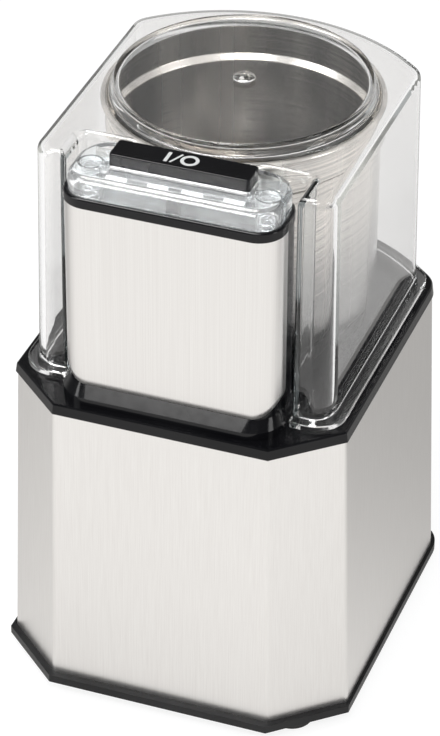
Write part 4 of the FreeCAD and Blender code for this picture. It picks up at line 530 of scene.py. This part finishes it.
def draw_outline(bm, z, start, strokes):
    """A closed outline drawn with the pen. Gives back its vertices in their order."""
    drawn = pen(bm, z, start, strokes)
    if (drawn[-1].co - drawn[0].co).length < SAME_PLACE:
        bmesh.ops.pointmerge(bm, verts=[drawn[0], drawn[-1]], merge_co=drawn[0].co.copy())
        return [v for v in drawn if v.is_valid]
    bm.edges.new((drawn[-1], drawn[0]))
    return drawn


def outline_points(draw, z, inset, **shape):
    """The points of an outline, drawn aside with the same pen."""
    aside = bmesh.new()
    points = [v.co.copy() for v in draw(aside, z, inset, **shape)]
    aside.free()
    return points


# %% Raising a skin
def each_once(things):
    """The things in their order, each of them once. A set has no fixed order from run to run."""
    return list(dict.fromkeys(things))


def row_edges(row):
    """The edges between the vertices of one row."""
    own = set(row)
    return each_once(e for v in row for e in v.link_edges if e.other_vert(v) in own)


def next_row(bm, row):
    """Extrudes a row of vertices. Gives back the new row, in the same order."""
    made = bmesh.ops.extrude_edge_only(bm, edges=row_edges(row))["geom"]
    fresh = {g for g in made if isinstance(g, bmesh.types.BMVert)}
    return [next(e.other_vert(v) for e in v.link_edges if e.other_vert(v) in fresh) for v in row]


def raise_skin(bm, ring, outlines):
    """Extrudes a drawn ring through further outlines of as many points. Gives back the last ring."""
    for points in outlines:
        ring = next_row(bm, ring)
        for vert, point in zip(ring, points):
            vert.co = point
    return ring


# %% Rounding edges and finishing a piece
def upright_edges(bm, rise):
    """The edges that rise by more than some millimetres."""
    return [e for e in bm.edges if abs(e.verts[0].co.z - e.verts[1].co.z) > rise * MM]


def round_over(bm, edges, width, segments):
    """Rounds edges by a bevel of some width, in millimetres."""
    bmesh.ops.bevel(
        bm, geom=edges, offset=width * MM, offset_type="OFFSET", segments=segments, profile=0.5,
        affect="EDGES", material=-1,
    )


def give_gauge(bm, inside, gauge):
    """Points the faces of an open sheet away from a place inside it, and gives the sheet its gauge."""
    bmesh.ops.recalc_face_normals(bm, faces=bm.faces)
    if sum(f.normal.dot(f.calc_center_median() - Vector(inside) * MM) for f in bm.faces) < 0:
        bmesh.ops.reverse_faces(bm, faces=bm.faces)
    bmesh.ops.solidify(bm, geom=list(bm.faces), thickness=gauge * MM)


def make_piece(name, bm, body, slot, replaced=(), smooth=30.0, weighted=True):
    """Turns a bmesh into a finished piece that rides on a body of the model."""
    bmesh.ops.remove_doubles(bm, verts=bm.verts, dist=SAME_PLACE)
    bmesh.ops.recalc_face_normals(bm, faces=bm.faces)
    mesh = bpy.data.meshes.new(name)
    for face in bm.faces:
        face.smooth = True
    bm.to_mesh(mesh)
    bm.free()
    mesh.set_sharp_from_angle(angle=math.radians(smooth))
    mesh.materials.append(finishes[slot])
    piece = bpy.data.objects.new(name, mesh)
    bpy.context.scene.collection.objects.link(piece)
    if weighted:
        shading = piece.modifiers.new("even_shading", "WEIGHTED_NORMAL")
        shading.keep_sharp = True
    if replaced:
        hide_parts(*replaced)
    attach(piece, body)
    print(name, "faces", len(mesh.polygons))
    return piece


# %% [markdown]
# ## The steel housing
#
# The housing is a tapered sleeve folded from brushed sheet. Folding leaves a small radius at each upright
# bend, and that radius catches the light as a fine line. Two outlines are joined and the bends bevelled.
# The hole for the cord gland is opened by cutting a square out of the back with `bisect_plane`, and
# joining its border to a circle that lies on the curved wall. `solidify` gives the sheet its gauge.

# %% The outline of the housing
# the wide arcs behind the housing and the cover share one centre
REAR_Y = -10.25


def rear_strokes(half, back, corner, steps):
    """The strokes round the back of the base: a corner, one wide arc about REAR_Y, and a corner."""
    x = half - corner
    y = REAR_Y + math.sqrt((back - REAR_Y - corner) ** 2 - x ** 2)
    turn = math.degrees(math.atan2(y - REAR_Y, x))
    return [(half, y), (x, y, turn, 8), (0, REAR_Y, 180 - 2 * turn, steps), (-x, y, turn, 8)]


def housing_ring(bm, z, half, front, back, corner, rear_r, inset=0.0):
    """Outline of the housing: two slanted front corners, straight sides and one arc behind."""
    cx, cy = corner
    slant = math.hypot(cx, cy)
    cx, cy = cx - inset * (1 + (cx - slant) / cy), cy - inset * (1 + (cy - slant) / cx)
    half, front, back, rear_r = half - inset, front + inset, back - inset, rear_r - inset
    strokes = [(half - cx, front), (half, front + cy)]
    strokes += rear_strokes(half, back, rear_r, 40) + [(-half, front + cy)]
    return draw_outline(bm, z, (-(half - cx), front), strokes)


# %% Fold the steel housing
HOUSING_LOW, HOUSING_HIGH, BEND_RADIUS, SHEET_GAUGE = 9.0, 138.7, 1.3, 1.2
sheet = bmesh.new()
low_ring = housing_ring(sheet, HOUSING_LOW, 73.8, -86.95, 88.55, (26.8, 24.0), 15.3)
high_ring = housing_ring(sheet, HOUSING_HIGH, 70.0, -84.65, 84.25, (24.9, 22.5), 14.5, inset=0.1)
bmesh.ops.bridge_loops(sheet, edges=row_edges(low_ring) + row_edges(high_ring))
bends = [e for e in upright_edges(sheet, 50) if e.calc_face_angle(0.0) > math.radians(20)]
round_over(sheet, bends, BEND_RADIUS, 4)
print("bends", len(bends))

# %% Open the hole for the gland
HOLE_Z, HOLE_R, CUT = 30.0, 7.6, 11.0
BACK_Y, BACK_HALF, LOW_ARC_R, HIGH_ARC_R = 70.0, 30.0, 98.8, 94.4


def back_wall_y(x, z):
    """How far back the steel stands at this x and height, in millimetres."""
    share = (z - HOUSING_LOW) / (HOUSING_HIGH - HOUSING_LOW)
    radius = LOW_ARC_R + (HIGH_ARC_R - LOW_ARC_R) * share
    return REAR_Y + math.sqrt(radius ** 2 - x ** 2)


def near_hole(place, half):
    """Whether a place on the back wall is inside a square about the hole."""
    x, y, z = place / MM
    return y > BACK_Y and abs(x) < half and abs(z - HOLE_Z) < half


cuts = [((side * CUT, 0, 0), (1, 0, 0)) for side in (-1, 1)]
cuts += [((0, 0, HOLE_Z + side * CUT), (0, 0, 1)) for side in (-1, 1)]
for place, way in cuts:
    back = []
    for face in sheet.faces:
        middle = face.calc_center_median() / MM
        if middle.y > BACK_Y and abs(middle.x) < BACK_HALF:
            back.append(face)
    parts = back + each_once(e for f in back for e in f.edges) + each_once(v for f in back for v in f.verts)
    bmesh.ops.bisect_plane(sheet, geom=parts, plane_co=Vector(place) * MM, plane_no=way)
patch = [f for f in sheet.faces if near_hole(f.calc_center_median(), CUT)]
bmesh.ops.delete(sheet, geom=patch, context="FACES")
open_edges = [e for e in sheet.edges if len(e.link_faces) == 1]
border = [e for e in open_edges if all(near_hole(v.co, CUT + 0.01) for v in e.verts)]
print("cut", len(patch), "faces out, border", len(border))

# %% Join the border to a circle on the wall
corners = {v for e in border for v in e.verts}
standing = Matrix.Rotation(math.radians(90), 4, "X")
circle = bmesh.ops.create_circle(
    sheet, segments=max(len(corners), 24), radius=HOLE_R * MM, matrix=standing
)["verts"]
for vert in circle:
    x, z = vert.co.x / MM, vert.co.z / MM + HOLE_Z
    vert.co = Vector((x, back_wall_y(x, z), z)) * MM
bmesh.ops.bridge_loops(sheet, edges=border + row_edges(circle))
give_gauge(sheet, (0, 0, 0), SHEET_GAUGE)
make_piece("folded_housing", sheet, "base", "brushed_steel", ("steel_housing",))
print("circle", len(circle))

# %% [markdown]
# ## The feet
#
# Four soft rubber feet are turned shapes, so each is a short profile spun once about its own axis.


# %% Turn a profile
def turn_profile(bm, points, centre, steps=96):
    """Spins a profile of (radius, height) points, in millimetres, once about an upright axis."""
    chain = [bm.verts.new(Vector((centre[0] + points[0][0], centre[1], points[0][1])) * MM)]
    for radius, height in points[1:]:
        chain.append(bmesh.ops.extrude_vert_indiv(bm, verts=[chain[-1]])["verts"][0])
        chain[-1].co = Vector((centre[0] + radius, centre[1], height)) * MM
    bmesh.ops.spin(
        bm, geom=chain + row_edges(chain), cent=Vector((*centre, 0)) * MM, axis=(0, 0, 1),
        angle=math.radians(360), steps=steps, use_merge=True,
    )
    bmesh.ops.remove_doubles(bm, verts=bm.verts, dist=SAME_PLACE)


# %% The four feet
feet = {"foot_front_left": (-52, -69.75), "foot_front_right": (52, -69.75),
        "foot_rear_left": (-52, 54.25), "foot_rear_right": (52, 54.25)}
foot_profile = [(0, 0.9), (5.2, 0.9), (5.8, 0.0), (8.1, 0.0), (8.8, 0.5), (9.0, 1.2), (9.0, 4.6), (8.6, 5.5),
                (3.0, 5.5), (3.0, 9.0), (4.0, 9.1), (3.2, 11.0), (0, 11.0)]
for name, centre in feet.items():
    pad = bmesh.new()
    turn_profile(pad, foot_profile, centre, 48)
    make_piece("turned_" + name, pad, "base", "rubber", (name,))

# %% [markdown]
# ## The lip of the column
#
# A glossy black lip closes the column round a shallow recess. Its section could be swept along the
# outline, but the outline is hollowed behind for the bowl, so the lip is one skin instead: it runs up the
# outside, over a rounded edge, down the inside, and back to where it began.

# %% The outline of the column
COLUMN_HALF, COLUMN_FRONT, COLUMN_BACK = 45.3, -77.95, -46.75
COLUMN_FRONT_R, COLUMN_BACK_R, COLUMN_HOLLOW_R = 11.2, 12.0, 62.2


def hollow(radius, back):
    """Where a circle about the bowl's axis meets a straight back: its x there, and half its turn."""
    depth = BOWL_Y - back
    meet_x = math.sqrt(radius ** 2 - depth ** 2)
    return meet_x, math.degrees(math.atan2(meet_x, depth))


def column_ring(bm, z, inset):
    """Outline of the column: round front corners and a back hollowed round the bowl."""
    half, front, back = COLUMN_HALF - inset, COLUMN_FRONT + inset, COLUMN_BACK - inset
    front_r, back_r = COLUMN_FRONT_R - inset, COLUMN_BACK_R - inset
    meet_x, half_turn = hollow(COLUMN_HOLLOW_R + inset, back)
    strokes = [
        (half - front_r, front), (half - front_r, front + front_r, 90, 10),
        (half, back - back_r), (half - back_r, back - back_r, 90, 10),
        (meet_x, back), (0, BOWL_Y, -2 * half_turn, 16), (-(half - back_r), back),
        (-(half - back_r), back - back_r, 90, 10), (-half, front + front_r),
        (-(half - front_r), front + front_r, 90, 10),
    ]
    return draw_outline(bm, z, (-(half - front_r), front), strokes)


def round_edge(z, radius, steps=5):
    """(height, inset) pairs of a rounded edge that ends at height z."""
    turns = [math.radians(90 * step / steps) for step in range(steps + 1)]
    return [(z - radius * (1 - math.sin(turn)), radius * (1 - math.cos(turn))) for turn in turns]


# %% The lip
LIP_FOOT, LIP_TOP = 232.2, 236.5
lip = bmesh.new()
section = [(232.45, 0.0)] + round_edge(LIP_TOP, 0.9)
section += [(LIP_TOP, 1.45), (236.3, 1.8), (235.9, 2.0), (LIP_FOOT, 2.0), (LIP_FOOT, 0.25)]
lip_outlines = [outline_points(column_ring, z, inset) for z, inset in section]
raise_skin(lip, column_ring(lip, LIP_FOOT, 0.25), lip_outlines)
make_piece("column_lip", lip, "base", "gloss_black", ("column_rim",))

# %% [markdown]
# ## The bowl
#
# The bowl is spun from sheet: a round bottom corner, a small step in the wall, and a bead rolled at the
# mouth. Its whole section, outside and inside, is one profile, so a single spin makes it with its gauge.

# %% Spin the bowl
CUP_Z, CUP_TOP, CUP_GAUGE = 149.0, 242.6, 1.0
CORNER_X, CORNER_R, BEAD_X, BEAD_R = 44.0, 9.0, 55.6, 1.4


def arc_points(cr, cz, radius, start, end, steps):
    """(radius, height) points on an arc in the profile plane."""
    turns = [math.radians(start + (end - start) * k / steps) for k in range(steps + 1)]
    return [(cr + radius * math.cos(t), cz + radius * math.sin(t)) for t in turns]


outside = [(7.0, CUP_Z), (CORNER_X, CUP_Z)] + arc_points(CORNER_X, CUP_Z + CORNER_R, CORNER_R, -90, 0, 8)
outside += [(53.0, 226.0), (53.3, 226.9), (55.0, 228.3), (55.2, 229.2), (55.2, 240.0)]
bead = arc_points(BEAD_X, CUP_TOP - BEAD_R, BEAD_R, -90, 180, 12)
inside = [(54.2, 240.6), (54.2, 229.2), (54.0, 228.5), (52.3, 227.0), (52.0, 226.1)]
inside += arc_points(CORNER_X, CUP_Z + CORNER_R, CORNER_R - CUP_GAUGE, 0, -90, 8)
inside += [(7.0, CUP_Z + CUP_GAUGE), (7.0, CUP_Z)]
bowl = bmesh.new()
turn_profile(bowl, outside + bead + inside, (0, BOWL_Y), 160)
make_piece("spun_bowl", bowl, "bowl", "bowl_steel", ("bowl_cup",), smooth=40)

# %% [markdown]
# ## The face plate
#
# The plate is brushed sheet again, bent round the front of the column. An open line is drawn round the
# front, and lifted towards both ends along a circle, which gives the two round lower corners. The line is
# then extruded upwards, first in small steps, because the lower border is rolled in a little.

# %% Draw the foot of the plate
PLATE_HALF, PLATE_FRONT, PLATE_END, PLATE_LOW, PLATE_GAUGE = 44.9, -77.55, -63.95, 150.5, 0.8
BEND_R, CORNER_START, PLATE_CORNER_R = 10.8, 34.3, 12.0
BEND_X, BEND_Y = PLATE_HALF - BEND_R, PLATE_FRONT + BEND_R
wrap = bmesh.new()
around = [(-PLATE_HALF, BEND_Y), (-BEND_X, BEND_Y, 90, 14)] + [(x, PLATE_FRONT) for x in range(-32, 33, 4)]
around += [(BEND_X, PLATE_FRONT), (BEND_X, BEND_Y, 90, 14), (PLATE_HALF, PLATE_END)]
foot_row = pen(wrap, PLATE_LOW, (-PLATE_HALF, PLATE_END), around)
for vert in foot_row:
    beyond = abs(vert.co.x) / MM - CORNER_START
    if beyond > 0:
        drop = math.sqrt(max(PLATE_CORNER_R ** 2 - beyond ** 2, 0))
        vert.co.z = (PLATE_LOW + PLATE_CORNER_R - drop) * MM
print("foot of the plate: points", len(foot_row))

# %% Roll the border in and raise the plate
ROLL_HEIGHT, ROLL_DEPTH, ROLL_STEPS = 3.0, 0.6, 6
rows = [foot_row]
for step in range(1, ROLL_STEPS + 1):
    rows.append(next_row(wrap, rows[-1]))
    for vert, foot in zip(rows[-1], foot_row):
        vert.co.z = foot.co.z + ROLL_HEIGHT * MM * step / ROLL_STEPS
for step, row in enumerate(rows[:-1]):
    depth = ROLL_DEPTH * (1 - math.sin(math.radians(90 * step / ROLL_STEPS)))
    for vert in row:
        side = max(abs(vert.co.x) - BEND_X * MM, 0.0) * math.copysign(1, vert.co.x)
        outward = Vector((side, min(vert.co.y - BEND_Y * MM, 0.0), 0))
        vert.co -= outward.normalized() * depth * MM
for vert in next_row(wrap, rows[-1]):
    vert.co.z = LIP_FOOT * MM
give_gauge(wrap, (0, BEND_Y, PLATE_LOW), PLATE_GAUGE)
make_piece("bent_face_plate", wrap, "base", "brushed_steel", ("column_face_plate",))

# %% [markdown]
# ## The clear cover
#
# The cover is one moulding: a foot flange, tapered walls that follow the base, a U notch in front for
# the column, a rounded upper edge and a raised round disc with a small nub. It is one skin of outlines
# with the same number of points, down the inner wall, under the foot and up the outer wall. Both upper
# edges are rounded about the same height, so the wall hardly thins round the corner, and little light is
# trapped in it. The flat tops are filled between the outline and the disc by `triangle_fill`.

# %% The outline of the cover
WALL_LOW_Z, WALL_HIGH_Z = 143.3, 245.0
# half width, front, back and corner radius of the wall at both heights, and of the flange
WALL_LOW = (63.0, -62.75, 77.25, 9.5)
WALL_HIGH = (61.8, -61.55, 76.05, 9.5)
FLANGE = (67.2, -67.25, 81.75, 13.0)
# the notch: its half width and back, the bulge round the bowl, and its outer and inner corners
NOTCH_HALF, NOTCH_BACK, BULGE_R, NOSE_R, CROOK_R = 47.2, -43.75, 60.7, 1.6, 2.6


def cover_ring(bm, z, inset, flange=False, notch=None):
    """Outline of the cover with its notch. The notch may have an inset of its own."""
    share = (z - WALL_LOW_Z) / (WALL_HIGH_Z - WALL_LOW_Z)
    wall = [low + (high - low) * share for low, high in zip(WALL_LOW, WALL_HIGH)]
    half, front, back, corner = FLANGE if flange else wall
    notch = inset if notch is None else notch
    half, front, back, corner = half - inset, front + inset, back - inset, corner - inset
    notch_half, notch_back = NOTCH_HALF + notch, NOTCH_BACK + notch
    nose, crook = max(NOSE_R - notch, 0.3), CROOK_R + notch
    meet_x, half_turn = hollow(BULGE_R - notch, notch_back)
    strokes = [(half - corner, front), (half - corner, front + corner, 90, 10)]
    strokes += rear_strokes(half, back, corner, 48)
    strokes += [
        (-half, front + corner), (-(half - corner), front + corner, 90, 10),
        (-(notch_half + nose), front), (-(notch_half + nose), front + nose, 90, 4),
        (-notch_half, notch_back - crook), (-(notch_half - crook), notch_back - crook, -90, 5),
        (-meet_x, notch_back), (0, BOWL_Y, 2 * half_turn, 24), (notch_half - crook, notch_back),
        (notch_half - crook, notch_back - crook, -90, 5), (notch_half, front + nose),
        (notch_half + nose, front + nose, 90, 4),
    ]
    return draw_outline(bm, z, (notch_half + nose, front), strokes)


# %% The outlines of the cover, from the foot up
# the foot stands a hair over the deck, because two faces in one plane can't be told apart by light
FOOT_Z = 143.36
# the upper edge: the height of its centre, its two radii, and how much of the inset the notch takes
EDGE_Z, OUTER_R, INNER_R, NOTCH_SHARE, WALL_GAUGE = 241.0, 4.0, 2.0, 0.75, 2.5
OUTER_STEPS, INNER_STEPS = 7, 5
outlines = []
for rise, inset in ((0.0, 0.5), (0.15, 0.15), (0.5, 0.0)):
    outlines.append(outline_points(cover_ring, FOOT_Z + rise, inset, flange=True))
for z, inset in ((145.3, 0.0), (145.7, 0.15), (145.93, 0.45), (146.0, 0.9)):
    outlines.append(outline_points(cover_ring, z, inset, flange=True, notch=0.0))
for z, inset in ((146.02, -1.2), (146.1, -0.6), (146.4, -0.2), (147.2, 0.0), (EDGE_Z, 0.0)):
    outlines.append(outline_points(cover_ring, z, inset, notch=0.0))
for step in range(1, OUTER_STEPS + 1):
    turn = math.radians(90 * step / OUTER_STEPS)
    inset = OUTER_R * (1 - math.cos(turn))
    z = EDGE_Z + OUTER_R * math.sin(turn)
    outlines.append(outline_points(cover_ring, z, inset, notch=inset * NOTCH_SHARE))
inside = []
for step in range(INNER_STEPS - 1, -1, -1):
    turn = math.radians(90 * step / INNER_STEPS)
    curl = INNER_R * (1 - math.cos(turn))
    z = EDGE_Z + INNER_R * math.sin(turn)
    inside.append(outline_points(cover_ring, z, WALL_GAUGE + curl, notch=WALL_GAUGE + curl * NOTCH_SHARE))
inside.append(outline_points(cover_ring, FOOT_Z, WALL_GAUGE))
print("outlines: outer", len(outlines), "inner", len(inside), "points", len(outlines[0]))

# %% Mould the clear cover
NUB_Z, NUB_R = 246.16, 5.84
cover = bmesh.new()
notch = WALL_GAUGE + INNER_R * NOTCH_SHARE
inner_top = cover_ring(cover, EDGE_Z + INNER_R, WALL_GAUGE + INNER_R, notch=notch)
outer_top = raise_skin(cover, inner_top, inside + outlines)


def turned_centre(bm, points):
    """A turned middle about the bowl's axis. Gives back the edges of its outer circle."""
    before = set(bm.verts)
    turn_profile(bm, points, (0, BOWL_Y), 128)
    made = [v for v in bm.verts if v not in before]
    return each_once(e for v in made for e in v.link_edges if len(e.link_faces) == 1)


nub_turns = [math.radians(degrees) for degrees in range(0, 49, 6)]
disc_out = [(NUB_R * math.sin(turn), NUB_Z + NUB_R * math.cos(turn)) for turn in nub_turns]
disc_out += [(4.7, 250.0), (51.2, 250.0)] + arc_points(51.2, 249.0, 1.0, 75, 0, 5) + [(53.0, 246.0)]
disc_out += arc_points(54.2, 246.0, 1.0, 195, 270, 5)
disc_in = [(0, 247.0), (49.3, 247.0)] + arc_points(49.3, 246.0, 1.0, 75, 0, 4) + [(50.3, 243.8)]
disc_in += arc_points(51.1, 243.8, 0.8, 195, 270, 4)
outer_circle = turned_centre(cover, disc_out)
inner_circle = turned_centre(cover, disc_in)
for ring, circle in ((outer_top, outer_circle), (inner_top, inner_circle)):
    edges = row_edges(ring) + circle
    bmesh.ops.triangle_fill(cover, use_beauty=True, use_dissolve=False, edges=edges, normal=(0, 0, 1))
print("cover: edges left open", len([e for e in cover.edges if len(e.link_faces) != 2]))
make_piece("clear_cover", cover, "lid", "clear_plastic", ("lid_cover",), smooth=35)

# %% [markdown]
# ## The press bar
#
# The bar is a block with rounded upright edges and a finer radius round its top, so it takes two bevels,
# the wider one first.


# %% Cut the press bar
def add_block(bm, size, centre):
    """A block of some size about a centre, in millimetres. Gives back its vertices."""
    made = bmesh.ops.create_cube(bm, size=1.0)["verts"]
    bmesh.ops.scale(bm, vec=Vector(size) * MM, verts=made)
    bmesh.ops.translate(bm, vec=Vector(centre) * MM, verts=made)
    return made


BAR_HALF, BAR_FRONT, BAR_BACK, BAR_Y = 28.6, -63.15, -51.15, -57.15
BAR_TOP, BAR_HEIGHT, CORNER_RADIUS, TOP_RADIUS = 249.8, 8.4, 1.5, 0.6
block = bmesh.new()
bar_size = (2 * BAR_HALF, BAR_BACK - BAR_FRONT, BAR_HEIGHT)
add_block(block, bar_size, (0, BAR_Y, BAR_TOP - BAR_HEIGHT / 2))
round_over(block, upright_edges(block, 1), CORNER_RADIUS, 5)
top_edges = [e for e in block.edges if min(v.co.z for v in e.verts) > (BAR_TOP - 0.01) * MM]
round_over(block, top_edges, TOP_RADIUS, 3)
make_piece("pressed_bar", block, "bar", "gloss_black", ("press_bar",), smooth=40)

# %% [markdown]
# ## The carrier under the bar
#
# Below the bar lies a clear moulded tray. Two arms reach from it into the round bosses of the button
# housing and end in discs that press on the springs, and eight ribs stiffen it. The ribs are a piece of
# their own, because they look milky where the tray is clear. Each is a block with every edge rounded.

# %% Mould the tray and its arms
CARRIER_Z, CARRIER_GAUGE, PEG_Y, PEG_BORDER = 240.0, 1.4, -67.15, 2.3
CARRIER_TOP = CARRIER_Z + CARRIER_GAUGE
BOSS_X, BOSS_Y, BOSS_BORE_R, ARM_HALF = 36.2, -62.15, 4.3, 1.9
BORE_PLAY, ARM_OVERLAP, ARM_GAP, CHAMFER = 0.35, 0.4, 0.02, 0.2


def rounded_block(bm, low, high, edge_r):
    """A block between two corners, in millimetres, with every edge rounded."""
    low, high = Vector(low), Vector(high)
    made = add_block(bm, high - low, (low + high) / 2)
    round_over(bm, each_once(e for v in made for e in v.link_edges), edge_r, 2)


tray = bmesh.new()
rounded_block(tray, (-BAR_HALF, PEG_Y - PEG_BORDER, CARRIER_Z), (BAR_HALF, BAR_BACK, CARRIER_TOP), 0.3)
arm_ends = (BAR_HALF + ARM_GAP, BOSS_X - BOSS_BORE_R + ARM_OVERLAP)
disc_r = BOSS_BORE_R - BORE_PLAY
disc = [(0, CARRIER_Z), (disc_r - CHAMFER, CARRIER_Z), (disc_r, CARRIER_Z + CHAMFER),
        (disc_r, CARRIER_TOP - CHAMFER), (disc_r - CHAMFER, CARRIER_TOP), (0, CARRIER_TOP)]
for side in (-1, 1):
    near, far = sorted(side * x for x in arm_ends)
    rounded_block(tray, (near, BOSS_Y - ARM_HALF, CARRIER_Z), (far, BOSS_Y + ARM_HALF, CARRIER_TOP), 0.2)
    turn_profile(tray, disc, (side * BOSS_X, BOSS_Y), 40)
carrier = make_piece("moulded_carrier", tray, "bar", "clear_plastic", ("bar_carrier",), smooth=40)
# painted light: the tray wears the plastic whose white body lightens it
carrier.material_slots[0].material = painted_bright_plastic

# %% Mould the ribs
RIB_HALF, RIB_HALF_WIDTH, RIB_DEPTH, RIB_GAP = 4.25, 0.6, 2.1, 0.02
ribs = bmesh.new()
for x in (-24.0, -7.0, 7.0, 24.0):
    for y in (BAR_FRONT - 3.1, BAR_FRONT + 4.6):
        low = (x - RIB_HALF, y - RIB_HALF_WIDTH, CARRIER_Z - RIB_DEPTH)
        high = (x + RIB_HALF, y + RIB_HALF_WIDTH, CARRIER_Z - RIB_GAP)
        rounded_block(ribs, low, high, 0.2)
rib_piece = make_piece("carrier_ribs", ribs, "bar", "clear_plastic", smooth=40)
rib_piece.material_slots[0].material = milky_plastic

# %% [markdown]
# ## The springs
#
# A coil is a small circle spun about the spring's axis, and lifted a little at each step.

# %% Wind the springs
COIL_R, TURN_STEPS, SEAT_GAP, TRAVEL = 3.2, 32, 0.02, 3.0


def wind_spring(replaced, centre, low, high, wire, turns, body):
    """A coil of wire between two heights, in millimetres."""
    coil = bmesh.new()
    steps = turns * TURN_STEPS
    lift = (high - low - wire - 2 * SEAT_GAP) / steps
    start = Matrix.Translation(Vector((centre[0] + COIL_R, centre[1], low + SEAT_GAP + wire / 2)) * MM)
    standing = start @ Matrix.Rotation(math.radians(90), 4, "X")
    bmesh.ops.create_circle(coil, segments=10, radius=wire / 2 * MM, matrix=standing)
    bmesh.ops.spin(
        coil, geom=list(coil.verts) + list(coil.edges), cent=Vector((*centre, 0)) * MM, axis=(0, 0, 1),
        dvec=(0, 0, lift * MM), angle=math.radians(360 * turns), steps=steps,
    )
    bmesh.ops.holes_fill(coil, edges=[e for e in coil.edges if len(e.link_faces) == 1])
    spring = make_piece("wound_" + replaced, coil, body, "bright_steel", (replaced,), smooth=40)
    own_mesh(spring)


SPRING_FOOT, PLUNGER_SPRING_LOW, PLUNGER_SPRING_HIGH = 228.8, 214.0, 221.7
for name, side in (("bar_spring_left", -1), ("bar_spring_right", 1)):
    wind_spring(name, (side * BOSS_X, BOSS_Y), SPRING_FOOT, CARRIER_Z, 0.8, 4, "lid")
wind_spring("plunger_spring", (0, PEG_Y), PLUNGER_SPRING_LOW, PLUNGER_SPRING_HIGH, 0.7, 3, "base")

# %% [markdown]
# ## The marks
#
# The on and off marks are a stroke, a slash and a ring of white ink. A picture on the bar could carry
# them too, but thin blocks and a turned ring, a hair proud of the bar, stay sharp at any distance.

# %% Print the marks
MARK_Z, INK_DEPTH, RING_IN, RING_OUT = 249.83, 0.3, 2.3, 3.7
ink = bmesh.new()


def ink_stroke(x, width, height, lean):
    """One stroke of ink on the bar, leaning to the right by some degrees."""
    centre = (x, BAR_Y, MARK_Z - INK_DEPTH / 2)
    made = add_block(ink, (width, height, INK_DEPTH), centre)
    turn = Matrix.Rotation(math.radians(-lean), 3, "Z")
    bmesh.ops.rotate(ink, verts=made, cent=Vector(centre) * MM, matrix=turn)


ink_stroke(-6.5, 1.4, 7.0, 0)
ink_stroke(-3.0, 0.85, 7.4, 24)
low, high = MARK_Z - INK_DEPTH, MARK_Z
turn_profile(ink, [(RING_IN, low), (RING_IN, high), (RING_OUT, high), (RING_OUT, low), (RING_IN, low)],
             (2.5, BAR_Y), 64)
make_piece("ink_marks", ink, "bar", "white_mark", ("on_off_marks",), weighted=False)

# %% [markdown]
# ## A softbox for the gloss in front
#
# In the photograph one low softbox draws a broad white line along the rounded front of the button
# housing. It is linked to the housing and what sits in it, as a flag on a stand would keep it off the
# steel.

# %% Light the glossy front
front_box = soft_lamp("lamp_gloss", (-0.40, -1.38, 0.86), (0, -0.07, 0.24), 1.2, 0.8, 56)
receivers = bpy.data.collections.new("gloss_receivers")
for glossy_piece in (nodes["button_housing"], carrier, rib_piece):
    receivers.objects.link(glossy_piece)
front_box.light_linking.receiver_collection = receivers
